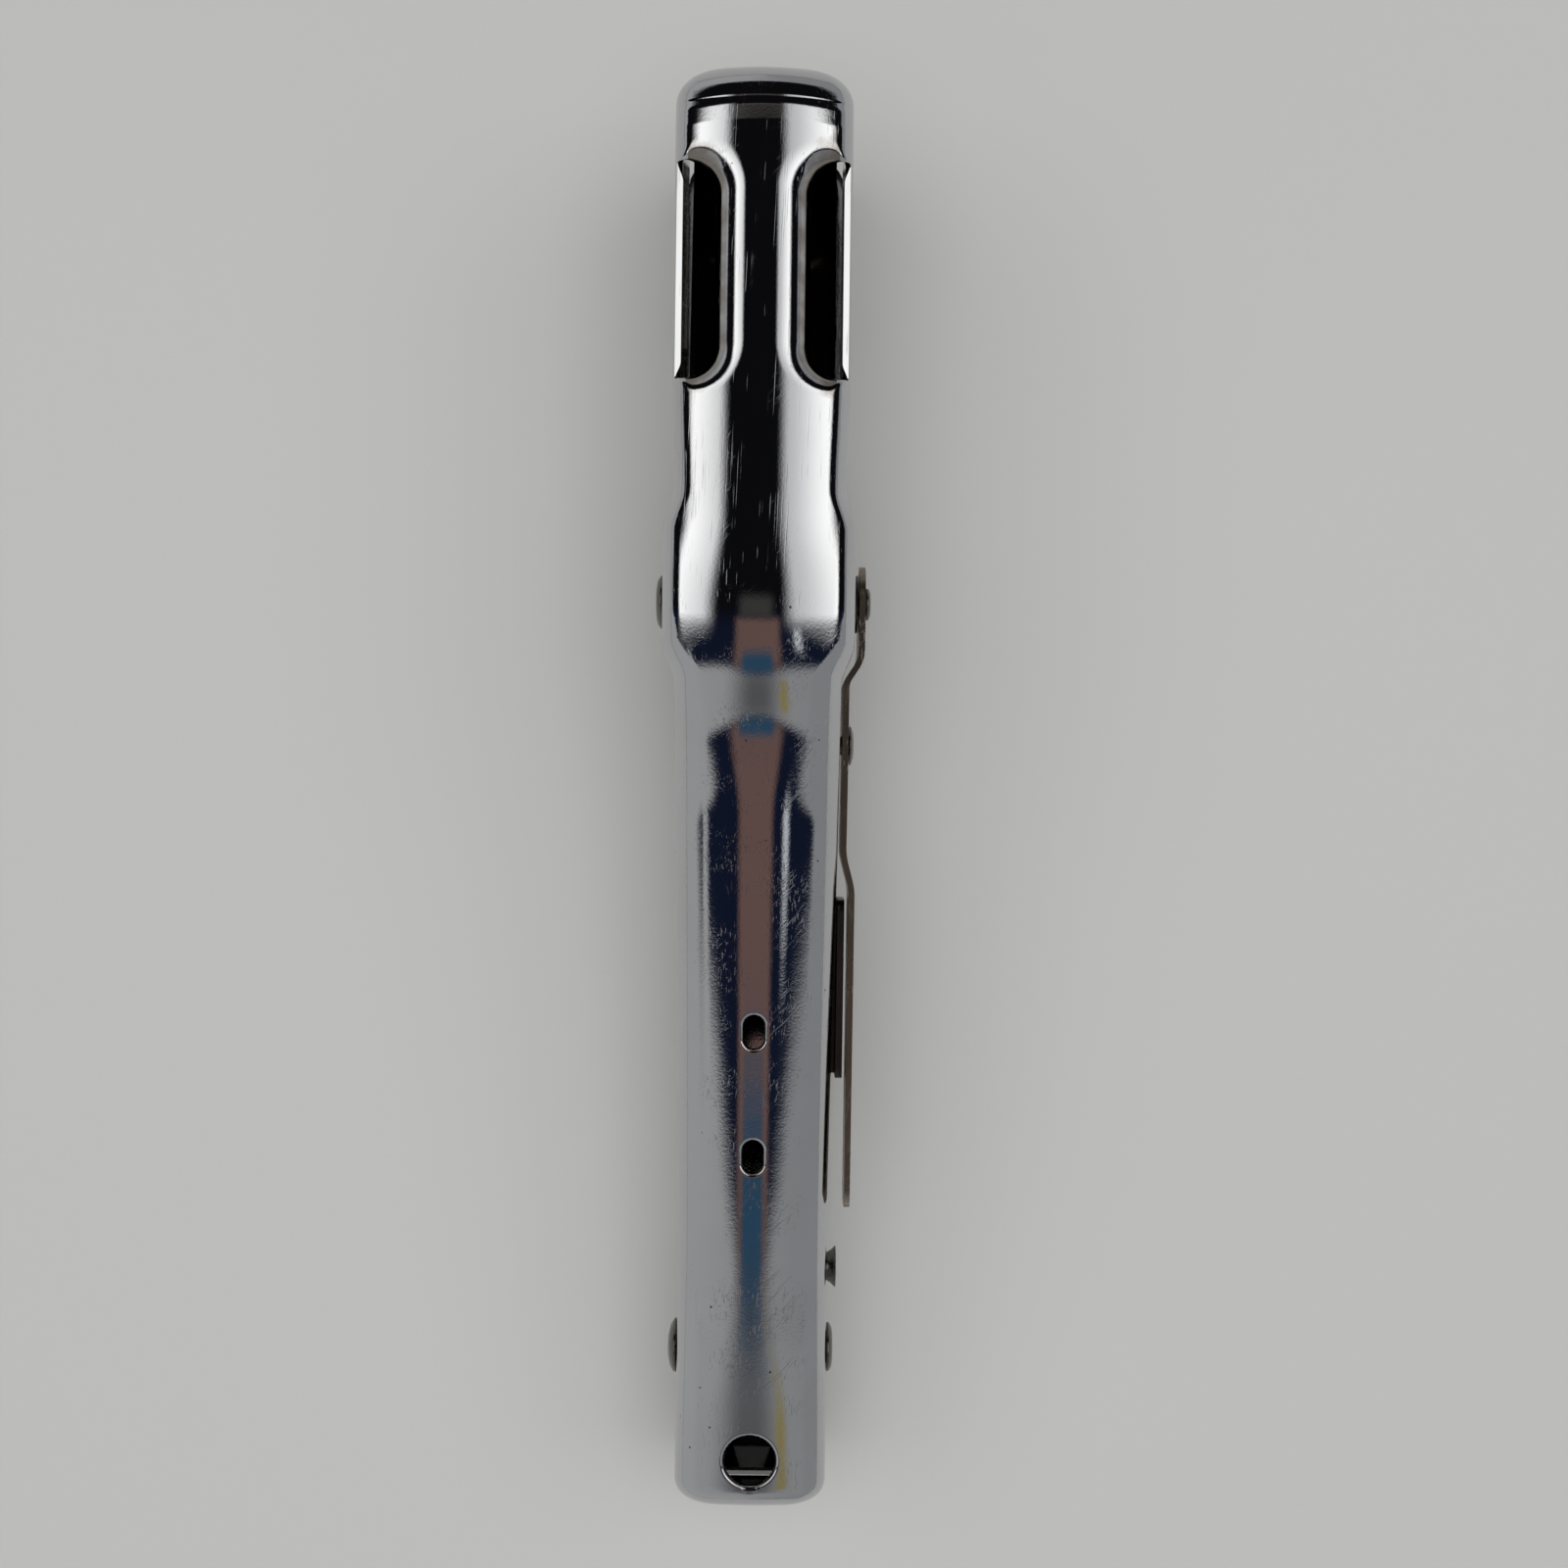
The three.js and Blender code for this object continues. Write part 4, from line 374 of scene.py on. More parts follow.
def places(*stretches):
    """Places along the tool: each stretch is (from, to, spacing)."""
    found = [np.linspace(a, b, max(2, int(round(abs(b - a) / step)) + 1)) for a, b, step in stretches]
    ordered = np.unique(np.round(np.concatenate(found), 4))
    return ordered[np.concatenate([[True], np.diff(ordered) > 0.03])]


# The openings, as distances round the sheet from the crown line and places along the tool. Each
# window is a D: its corners are round toward the crown, and its outer side is a straight sill.
window_near, window_far = 5.8, 11.6
window_corner, sill_corner = 4.0, 0.25
hole_radius = 3.25
slot_ys, slot_straight, slot_radius = (tail + 61.8, tail + 46.1), 0.8, 1.25


def rounded_box(across, along, half_across, half_along, radius):
    """Distance to a box with rounded corners, from its middle line to one side."""
    x = across - half_across + radius
    y = np.abs(along) - half_along + radius
    return np.minimum(np.maximum(x, y), 0) + np.hypot(np.maximum(x, 0), np.maximum(y, 0)) - radius


def openings(run, y):
    """Distance to each opening in the sheet, measured on its surface; below zero is open."""
    middle = (window_near + window_far) / 2
    across = np.abs(run) - middle
    half_wide = (window_far - window_near) / 2
    bowed = across < window_corner - half_wide
    window = rounded_box(np.where(bowed, -across, across), y - (window_front + window_rear) / 2, half_wide,
                         (window_front - window_rear) / 2, np.where(bowed, window_corner, sill_corner))
    slots = [np.hypot(run, np.maximum(np.abs(y - slot_y) - slot_straight, 0)) - slot_radius
             for slot_y in slot_ys]
    hole = np.hypot(run, y - hole_y) - hole_radius
    return np.stack([window, *slots, hole])


def rim_sizes(which, toward_side, run, y):
    """The roll round an opening: its reach, its drop and the sheet's thickness at its lip.

    which is 0 for a window, 1 and 2 for the slots and 3 for the hole. A window's roll is widest and
    deepest toward the crown, and there is none along its outer sill.
    """
    toward_crown = np.clip(-toward_side, 0, 1)
    sill_side = toward_side > 0.3
    rolled = np.where(sill_side, 0, 1 - ease(window_far - 3.2, window_far - 0.2, np.abs(run)))
    rolled = np.maximum(rolled, 0.02)
    reach = np.choose(which, [(1.5 + 2.7 * toward_crown) * rolled, 0.3, 0.3, 0.35])
    drop = np.choose(which, [(0.9 + 2.4 * toward_crown) * rolled, 0.75, 0.75, 0.75])
    blunt, keen = 0.45, 0.08
    lip = between(blunt, keen, ease(8.4, 9.4, np.abs(run)))
    sill = between(keen, sheet, ease(0, 2.2, np.minimum(window_front - y, y - window_rear)))
    return reach, drop, np.choose(which, [np.where(sill_side, sill, lip), keen, keen, keen])


# What counts as well clear of every grimy lip.
clean = 9.0


def form_with_rims(run, y):
    """Points on the drawn form with its openings rolled down, how far each is from a grimy lip, and
    the sheet's thickness there."""
    field = openings(run, y)
    which = np.argmin(field, axis=0)
    away = np.take_along_axis(field, which[None], 0)[0]
    step = 0.02
    slope_run = (openings(run + step, y) - openings(run - step, y)) / (2 * step)
    slope_y = (openings(run, y + step) - openings(run, y - step)) / (2 * step)
    slope_run = np.take_along_axis(slope_run, which[None], 0)[0]
    slope_y = np.take_along_axis(slope_y, which[None], 0)[0]
    away = np.maximum(away, 0)
    reach, drop, edge = rim_sizes(which, slope_run * np.sign(run), run, y)
    turn = np.clip(away / reach, 0, 1) * math.pi / 2
    moved = np.where(away < reach, away - reach * (1 - np.cos(turn)), 0)
    sunk = drop * (1 - np.sin(turn))
    new_run, new_y = run - slope_run * moved, y - slope_y * moved
    half, top, shoulder, crown = shell_section(new_y)
    x, z = on_section(half, top, shoulder, crown, new_run)
    thickness = between(edge, sheet, ease(0, np.maximum(0.8 * reach, 0.3), away))
    on_sill = (slope_run * np.sign(run) > 0.3) | (np.abs(run) > 9.5)
    from_lip = np.where(which == 0, np.where(on_sill, clean, 0.5 * away), 0.4 + 3 * away)
    return np.stack([x, new_y, z - sunk], axis=-1), from_lip, thickness


def sheet_mesh(name, points, faces, thickness, lip=None):
    """A closed sheet: the outer skin, the same skin a thickness further in, and the cut edges."""
    points = np.asarray(points, float)
    tris = np.array([(f[0], f[k], f[k + 1]) for f in faces for k in range(1, len(f) - 1)])
    a, b, c = points[tris[:, 0]], points[tris[:, 1]], points[tris[:, 2]]
    flat = np.cross(b - a, c - a)
    normals = np.zeros_like(points)
    for corner in range(3):
        np.add.at(normals, tris[:, corner], flat)
    normals /= np.maximum(np.linalg.norm(normals, axis=1, keepdims=True), 1e-12)
    inner = points - normals * np.reshape(thickness, (-1, 1))
    count = len(points)
    seen = dict.fromkeys(pair for f in faces for pair in zip(f, f[1:] + f[:1]))
    rim = [(p, q) for p, q in seen if (q, p) not in seen]
    all_faces = [tuple(f) for f in faces] + [tuple(i + count for i in reversed(f)) for f in faces]
    all_faces += [(q, p, p + count, q + count) for p, q in rim]
    mesh = bpy.data.meshes.new(name)
    mesh.from_pydata((np.concatenate([points, inner]) * 0.001).tolist(), [], all_faces)
    mesh.polygons.foreach_set("use_smooth", np.ones(len(all_faces), bool))
    edges = np.zeros(len(mesh.edges) * 2, int)
    mesh.edges.foreach_get("vertices", edges)
    sharp = {tuple(sorted(e)) for e in rim} | {tuple(sorted((p + count, q + count))) for p, q in rim}
    marks = [tuple(sorted(e)) in sharp for e in edges.reshape(-1, 2).tolist()]
    mesh.attributes.new("sharp_edge", "BOOLEAN", "EDGE").data.foreach_set("value", marks)
    # The inside attribute marks the inner skin, where the chrome paints shade.
    inside = mesh.attributes.new("inside", "FLOAT", "POINT")
    inside.data.foreach_set("value", np.repeat([0.0, 1.0], count))
    if lip is not None:
        mesh.attributes.new("from_edge", "FLOAT", "POINT").data.foreach_set("value", np.tile(lip, 2))
    obj = bpy.data.objects.new(name, mesh)
    scene.collection.objects.link(obj)
    return obj


def clipped_faces(level, run, y, columns):
    """Grid cells, with those that an opening crosses cut along its edge."""
    level, run, y = list(level.ravel()), list(run.ravel()), list(y.ravel())
    rows = len(level) // columns
    cuts = {}

    def crossing(p, q):
        key = (min(p, q), max(p, q))
        if key not in cuts:
            share = level[p] / (level[p] - level[q])
            cuts[key] = len(level)
            run.append(between(run[p], run[q], share))
            y.append(between(y[p], y[q], share))
            level.append(0.0)
        return cuts[key]

    faces = []
    for i in range(rows - 1):
        for j in range(columns - 1):
            cell = [i * columns + j, i * columns + j + 1, (i + 1) * columns + j + 1, (i + 1) * columns + j]
            inside = [level[k] > 0 for k in cell]
            if all(inside):
                faces.append(cell)
            elif any(inside):
                kept = []
                for k in range(4):
                    p, q = cell[k], cell[(k + 1) % 4]
                    if inside[k]:
                        kept.append(p)
                    if inside[k] != inside[(k + 1) % 4]:
                        kept.append(crossing(p, q))
                if len(kept) > 2:
                    faces.append(kept)
    return np.array(run), np.array(y), faces


def shell_columns(crown_steps, shoulder_steps, wall_steps):
    """Columns round the section: 0 is its top, 1 the shoulder, 2 the side wall and 3 the lower edge."""
    half = np.concatenate([np.linspace(0, 1, crown_steps + 1), np.linspace(1, 2, shoulder_steps + 1)[1:],
                           np.linspace(2, 3, wall_steps + 1)[1:]])
    return np.concatenate([-half[:0:-1], half])


def run_at(column, crown_run, side_run, edge_run):
    """The distance round the section at a column."""
    far = np.abs(column)
    run = np.where(far <= 1, far * crown_run, np.where(
        far <= 2, between(crown_run, side_run, far - 1), between(side_run, edge_run, far - 2)))
    return run * np.sign(column)


# Rows along the tool, close together where the form bends and round the openings.
slot_front, slot_rear = slot_ys
by_slot = 3.6
nose_rows = nose - 3.0 * (np.linspace(0, 1, 16) ** 2)
tail_rows = tail + tail_edge * (np.linspace(0, 1, 12) ** 2)
rows_y = np.unique(np.round(np.concatenate([
    nose_rows, tail_rows,
    places((nose - 3.0, nose - 3.3, 0.06), (nose - 3.3, nose - 4.5, 0.3), (nose - 4.5, nose - 5.2, 0.05),
           (nose - 5.2, nose - 8.2, 0.1), (nose - 8.2, window_front + 4, 0.3),
           (window_front + 4, window_rear - 4, 0.22), (window_rear - 4, pivot_y + 12, 0.5),
           (pivot_y + 12, pivot_y + 7, 0.25), (pivot_y + 7, pivot_y - 5, 0.6),
           (pivot_y - 5, saddle_rear - 1, 0.28), (saddle_rear - 1, slot_front + by_slot, 0.9),
           (slot_front + by_slot, slot_front - by_slot, 0.2),
           (slot_front - by_slot, slot_rear + by_slot, 0.7),
           (slot_rear + by_slot, slot_rear - by_slot, 0.2), (slot_rear - by_slot, hole_y + 5, 0.9),
           (hole_y + 5, tail + tail_edge, 0.22))]), 4))
rows_y = rows_y[np.concatenate([[True], np.diff(rows_y) > 0.012])]
columns = shell_columns(36, 18, 12)
y_grid = np.repeat(rows_y[:, None], len(columns), 1)
sections = shell_section(rows_y)
runs = runs_of(*sections, shell_bottom(rows_y))
run_grid = run_at(columns[None], *(r[:, None] for r in runs))
field = openings(run_grid, y_grid).min(axis=0)


def side_holes(run, y):
    """The pin and rivet holes through the side walls; below zero is open."""
    half, top, shoulder, crown = shell_section(y)
    z = on_section(half, top, shoulder, crown, run)[1]
    on_wall = np.abs(run) > 9
    on_right_wall = on_wall & (run > 0)
    nowhere = 50.0
    holes = [(pivot_y, pivot_z, 2.62, on_wall), (tail_rivet_y, tail_rivet_z, 2.02, on_wall),
             (anchor_y, anchor_z, 1.92, on_right_wall),
             (strip_rivet_y, strip_rivet_z, 1.32, on_right_wall)]
    found = [np.where(wall, np.hypot(y - along_tool, z - height) - radius, nowhere)
             for along_tool, height, radius, wall in holes]
    return np.min(found, axis=0)


level = np.minimum(field, side_holes(run_grid, y_grid))
run_all, y_all, shell_faces = clipped_faces(level, run_grid, y_grid, len(columns))
shell_points, from_edge, thickness = form_with_rims(run_all, y_all)


def close_end(points, faces, row, section, bottom, y, forward):
    """Fills an end wall: smaller and smaller copies of the end section, then a seam up the middle."""
    half, top, shoulder, crown = (float(value) for value in section)
    steps, closed_share = 9, 0.985
    last = row
    for step in range(1, steps + 1):
        share = 1 - step / steps * closed_share
        ring = (half * share, top - half * (1 - share), shoulder * share, crown * share)
        run = run_at(columns, *runs_of(*ring, bottom))
        x, z = on_section(*ring, run)
        first = len(points)
        points.extend(np.stack([x, np.full_like(x, y), z], axis=-1).tolist())
        new = list(range(first, len(points)))
        for j in range(len(columns) - 1):
            cell = [last[j], last[j + 1], new[j + 1], new[j]]
            faces.append(cell if forward else cell[::-1])
        last = new
    middle = len(columns) // 2
    for j in range(middle):
        left, right = last[middle - j], last[middle + j]
        start = [left] if j == 0 else [left, right]
        cell = start + [last[middle + j + 1], last[middle - j - 1]]
        faces.append(cell if forward else cell[::-1])


# Both ends are closed, and points that no face uses are left out.
shell_points = shell_points.tolist()
count = len(columns)
tail_row = list(range(count))
nose_row = list(range((len(rows_y) - 1) * count, len(rows_y) * count))
close_end(shell_points, shell_faces, tail_row, [size[0] for size in sections], float(shell_bottom(tail)),
          tail, False)
close_end(shell_points, shell_faces, nose_row, [size[-1] for size in sections], float(shell_bottom(nose)),
          nose, True)
used = np.zeros(len(shell_points), bool)
for f in shell_faces:
    used[f] = True
renumber = np.cumsum(used) - 1
shell_faces = [[int(renumber[k]) for k in f] for f in shell_faces]
extra = len(shell_points) - len(thickness)
thickness = np.concatenate([thickness, np.full(extra, sheet)])[used]
from_edge = np.concatenate([from_edge, np.full(extra, clean)])[used]
shell_points = np.array(shell_points)[used]
top_shell = sheet_mesh("drawn_shell", shell_points, shell_faces, thickness, from_edge)
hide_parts("top_shell")
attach(top_shell, "frame")


def effect(name, inputs, outputs):
    """A shared effect: a node group with named inputs and outputs, and its two end nodes."""
    made = bpy.data.node_groups.new(name, "ShaderNodeTree")
    for title, kind in inputs:
        made.interface.new_socket(title, in_out="INPUT", socket_type="NodeSocket" + kind)
    for title in outputs:
        made.interface.new_socket(title, in_out="OUTPUT", socket_type="NodeSocketFloat")
    return made, made.nodes.new("NodeGroupInput").outputs, made.nodes.new("NodeGroupOutput").inputs


def stretched(tree, place, turn, across, along):
    """A place turned about the upright axis and scaled, so that a noise on it runs in streaks."""
    turned = add_node(tree, "ShaderNodeVectorRotate", rotation_type="Z_AXIS")
    plug(tree, turned.inputs["Vector"], place)
    plug(tree, turned.inputs["Angle"], turn)
    sizes = add_node(tree, "ShaderNodeCombineXYZ")
    for socket, value in zip(sizes.inputs, (across, along, across)):
        plug(tree, socket, value)
    scaled = add_node(tree, "ShaderNodeVectorMath", operation="MULTIPLY")
    plug(tree, scaled.inputs[0], turned.outputs[0])
    plug(tree, scaled.inputs[1], sizes.outputs[0])
    return scaled.outputs[0]


def noise(tree, place, scale, detail=2.0):
    """Cloudy noise at a place, finer as the scale grows."""
    node = add_node(tree, "ShaderNodeTexNoise", Detail=detail)
    plug(tree, node.inputs["Vector"], place)
    plug(tree, node.inputs["Scale"], scale)
    return node.outputs["Fac"]


# Hairline scratches: thin broken streaks in one direction.
hairlines, given, result = effect(
    "hairline_scratches",
    [("Place", "Vector"), ("Turn", "Float"), ("Fineness", "Float"), ("Length", "Float")], ["Scratch"])
drawn_out = stretched(hairlines, given["Place"], given["Turn"], given["Fineness"], given["Length"])
streaks = noise(hairlines, drawn_out, 1.0, 1.0)
broken = noise(hairlines, given["Place"], 190.0, 1.0)
plug(hairlines, result["Scratch"], maths(
    hairlines, "MULTIPLY", fade(hairlines, streaks, 0.62, 0.74), fade(hairlines, broken, 0.42, 0.62)))

# Pits: small dots where the plating has lifted.
pitting, given, result = effect("plating_pits", [("Place", "Vector"), ("Closeness", "Float")], ["Pit"])
cells = add_node(pitting, "ShaderNodeTexVoronoi")
plug(pitting, cells.inputs["Vector"], given["Place"])
plug(pitting, cells.inputs["Scale"], given["Closeness"])
chosen = add_node(pitting, "ShaderNodeSeparateColor")
plug(pitting, chosen.inputs[0], cells.outputs["Color"])
pit_size = maths(pitting, "MULTIPLY", fade(pitting, chosen.outputs[0], 0.9, 1.0), 0.13)
pit_edge = maths(pitting, "SUBTRACT", cells.outputs["Distance"], pit_size)
plug(pitting, result["Pit"], maths(
    pitting, "MULTIPLY", fade(pitting, pit_edge, 0.03, -0.03), fade(pitting, pit_size, 0.0, 0.03)))

# Handling: soft patches of haze with finer cloudiness in them.
handling, given, result = effect("handling_haze", [("Place", "Vector"), ("Closeness", "Float")], ["Haze"])
patches = fade(handling, noise(handling, given["Place"], given["Closeness"], 3.0), 0.36, 0.68)
cloudy = maths(handling, "ADD", 0.45, noise(handling, given["Place"], 900.0, 2.0))
plug(handling, result["Haze"], maths(handling, "MULTIPLY", patches, cloudy))


def placed(tree, made, **values):
    """One of the shared effects in a material, with its own values."""
    node = tree.nodes.new("ShaderNodeGroup")
    node.node_tree = made
    for name, value in values.items():
        plug(tree, node.inputs[name], value)
    return node.outputs[0]


def metal(name, colour, stained, gloss, haze=0.07, streak=0.5, relief=1.0, soil=0.45, grime_and_shade=None):
    """Worn metal: a base colour that soils toward a stained one, with hairlines, pits and haze.

    The relief counts in thousandths of a millimetre. The last argument, if given, is a function that puts more
    grime and painted shade on chosen places, and gives the two shares: a grime share and a painted shade share.
    """
    made = bpy.data.materials.new(name)
    made.use_nodes = True
    tree = made.node_tree
    steel = tree.nodes["Principled BSDF"]
    steel.inputs["Metallic"].default_value = 1.0
    place = add_node(tree, "ShaderNodeTexCoord").outputs["Object"]
    fineness = 6500.0
    lengthwise = placed(tree, hairlines, Place=place, Turn=0.04, Fineness=fineness, Length=42.0)
    stray = placed(tree, hairlines, Place=place, Turn=0.8, Fineness=fineness, Length=70.0)
    pits = placed(tree, pitting, Place=place, Closeness=800.0)
    hazy = placed(tree, handling, Place=place, Closeness=75.0)
    scratched = maths(tree, "MAXIMUM", lengthwise, maths(tree, "MULTIPLY", stray, 0.4))
    share = maths(tree, "MULTIPLY", hazy, soil)
    dark = maths(tree, "MULTIPLY", pits, 0.85)
    # Painted shade from the last argument darkens the base colour toward the same dark colour as the pits.
    if grime_and_shade is not None:
        grime, painted_shade = grime_and_shade(tree, place)
        share = maths(tree, "MAXIMUM", share, grime)
        dark = maths(tree, "MAXIMUM", dark, painted_shade)
    pit_and_shade_colour = tuple(0.22 * part for part in stained)
    shade = tint(tree, share, colour, stained)
    plug(tree, steel.inputs["Base Color"], tint(tree, dark, shade, pit_and_shade_colour))
    rough = maths(tree, "ADD", maths(tree, "MULTIPLY", share, haze), gloss)
    rough = maths(tree, "ADD", rough, maths(tree, "MULTIPLY", scratched, streak * 0.35))
    plug(tree, steel.inputs["Roughness"], maths(tree, "ADD", rough, maths(tree, "MULTIPLY", pits, 0.4)))
    grain = maths(tree, "MULTIPLY", noise(tree, place, 3200.0, 2.0), 3.6 * relief)
    swell = maths(tree, "MULTIPLY", noise(tree, place, 230.0, 1.0), 7.0 * relief)
    cuts = maths(tree, "MULTIPLY", maths(tree, "ADD", scratched, pits), -9.0 * relief * streak)
    height = maths(tree, "ADD", maths(tree, "ADD", grain, swell), cuts)
    bump = add_node(tree, "ShaderNodeBump", Distance=1e-6)
    plug(tree, bump.inputs["Height"], height)
    plug(tree, steel.inputs["Normal"], bump.outputs[0])
    return made


def window_grime_and_shade(tree, place):
    """Brown grime on the lips of the openings, and painted shade: a dark skin on the sheet's inner face, where
    shade falls under the shell.
    """
    lip = add_node(tree, "ShaderNodeAttribute", attribute_name="from_edge").outputs["Fac"]
    inner = add_node(tree, "ShaderNodeAttribute", attribute_name="inside").outputs["Fac"]
    wander = maths(tree, "MULTIPLY", noise(tree, place, 420.0, 4.0), 1.2)
    near = fade(tree, maths(tree, "SUBTRACT", lip, wander), 0.85, 0.0)
    # The second share is painted shade on the inner skin.
    return maths(tree, "MULTIPLY", near, 0.8), maths(tree, "MULTIPLY", fade(tree, inner, 0.9, 1.0), 0.93)


# The grime colour, darkened, is also the colour of the painted shade inside the shell.
bright_plate, brown_grime_and_shade = (0.56, 0.566, 0.578), (0.2, 0.165, 0.13)
chrome = metal("polished_chrome", bright_plate, brown_grime_and_shade, 0.035, soil=0.06, grime_and_shade=window_grime_and_shade)
top_shell.data.materials.append(chrome)

# ---- The lower handle and its driver hood
# One pressed lever: a trough for the palm, two cheeks across the pivot and a flat-topped hood that
# carries the driver under the head. Polished and chrome plated, with painted shade on the hood where it lies under
# the shell and the windows show it.
bodies = frame["record"]["behaviour"]["bodies"]
body_of = {node: body for body, nodes in bodies.items() for node in nodes}


def finished(node, name, material, edge=0.14, change=None):
    """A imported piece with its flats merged, its edges broken and its bends smooth."""
    same_flat, sharp_edge, crease = math.radians(1.2), math.radians(38), math.radians(55)
    mesh = frame["nodes"][node].data.copy()
    mesh.name = name
    form = bmesh.new()
    form.from_mesh(mesh)
    bmesh.ops.remove_doubles(form, verts=form.verts, dist=1e-6)
    form.normal_update()
    if change is not None:
        change(form)
    bmesh.ops.dissolve_limit(form, angle_limit=same_flat, verts=form.verts, edges=form.edges)
    corners = [line for line in form.edges if line.is_manifold and line.calc_face_angle() > sharp_edge]
    bmesh.ops.bevel(form, geom=corners, offset=edge / 1000, segments=2, profile=0.5, affect="EDGES",
                    clamp_overlap=True, loop_slide=True)
    for face in form.faces:
        face.smooth = True
    for line in form.edges:
        line.smooth = not line.is_manifold or line.calc_face_angle() < crease
    form.to_mesh(mesh)
    form.free()
    mesh.materials.clear()
    mesh.materials.append(material)
    obj = bpy.data.objects.new(name, mesh)
    scene.collection.objects.link(obj)
    weights = obj.modifiers.new("even_flats", "WEIGHTED_NORMAL")
    weights.keep_sharp = True
    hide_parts(node)
    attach(obj, body_of[node])


hood_start = pivot_y + 12
hood_flat = head_top - 5.4
hood_gauge = 1
hood_turn = math.radians(12)
turn_sine, turn_cosine = math.sin(hood_turn), math.cos(hood_turn)


def flatten_hood(form):
    """Presses the hood's crown down to a nearly flat top, in the place where the hood is level."""
    crown_left = 0.08
    for corner in form.verts:
        y, z = corner.co.y * 1000 - pivot_y, corner.co.z * 1000 - pivot_z
        level_y = y * turn_cosine - z * turn_sine
        level_z = y * turn_sine + z * turn_cosine + pivot_z
        limit = hood_flat if corner.normal.z > 0 else hood_flat - hood_gauge
        if level_y + pivot_y > hood_start and level_z > limit:
            level_z = limit + (level_z - limit) * crown_left - pivot_z
            corner.co.y = (level_y * turn_cosine + level_z * turn_sine + pivot_y) / 1000
            corner.co.z = (level_z * turn_cosine - level_y * turn_sine + pivot_z) / 1000


def hood_shade(tree, place):
    """No grime, and painted shade: a dark skin on the hood from its shoulders up, where the shell covers it."""
    parts = add_node(tree, "ShaderNodeSeparateXYZ")
    plug(tree, parts.inputs[0], place)
    ahead = maths(tree, "SUBTRACT", parts.outputs[1], pivot_y / 1000)
    above = maths(tree, "SUBTRACT", parts.outputs[2], pivot_z / 1000)
    height = maths(tree, "ADD", maths(tree, "MULTIPLY", ahead, turn_sine),
                   maths(tree, "MULTIPLY", above, turn_cosine))
    # The second share is painted shade.
    return 0.0, maths(tree, "MULTIPLY", fade(tree, height, 0.003, 0.006), fade(tree, ahead, 0.011, 0.014))


lever_chrome = metal("handled_chrome", (0.52, 0.525, 0.535), (0.24, 0.21, 0.18), 0.08, haze=0.12,
                     relief=1.3, soil=0.16, grime_and_shade=hood_shade)
finished("handle_lever", "lower_handle", lever_chrome, edge=0.2, change=flatten_hood)

# ---- The lower jaw, the anvil and the latch ear
# The frame is a second chromed pressing: jaw, pivot ears and two arms inside the handle. The anvil
# is a hard steel plate with two ground grooves; the ear is a blued plate on the lever's right wall.
finished("anvil_frame", "lower_jaw", lever_chrome, edge=0.2)
ground_steel = metal("ground_steel", (0.5, 0.485, 0.46), (0.2, 0.155, 0.12), 0.2, haze=0.14,
                     streak=0.8, relief=1.6)
finished("anvil_plate", "grooved_anvil", ground_steel, edge=0.12)
blued_steel = metal("blued_steel", (0.13, 0.125, 0.12), (0.08, 0.05, 0.035), 0.3, haze=0.2, relief=2.2)
finished("latch_ear", "latch_ear_plate", blued_steel)

# ---- The magazine and the driver
# A folded channel round a core rail, closed by a rear plug, with a follower that a long thin spring
# pushes along the core. The driver is a curved hard blade riveted in the hood. Bright drawn steel.
for node, name, material in [
        ("magazine_channel", "staple_channel", ground_steel), ("core_rail", "staple_core", ground_steel),
        ("magazine_end_plug", "channel_plug", blued_steel), ("follower", "staple_follower", ground_steel),
        ("driver_blade", "curved_driver", ground_steel)]:
    finished(node, name, material, edge=0.1)

# ---- The pins, rivets and tubes
# Turned steel, dark nickel plated. Heads are set in a press, so they are crowned and a little
# bruised, and the clinched ends are dished where the tool spread them.
dark_nickel = metal("dark_nickel", (0.17, 0.165, 0.155), (0.12, 0.095, 0.075), 0.2, haze=0.2,
                    streak=0.8, relief=3.0)


def rounded(profile, radius=0.16, steps=3):
    """The same profile with each corner turned into a small curve."""
    points = [profile[0]]
    for before, corner, after in zip(profile, profile[1:], profile[2:]):
        ends = []
        for other in (before, after):
            gap = math.dist(corner, other)
            share = min(radius, gap * 0.45) / gap
            ends.append((between(corner[0], other[0], share), between(corner[1], other[1], share)))
        for step in range(steps + 1):
            t = step / steps
            pulls = ((1 - t) ** 2, ends[0]), (2 * t * (1 - t), corner), (t ** 2, ends[1])
            points.append(tuple(sum(pull * spot[k] for pull, spot in pulls) for k in (0, 1)))
    return points + [profile[-1]]


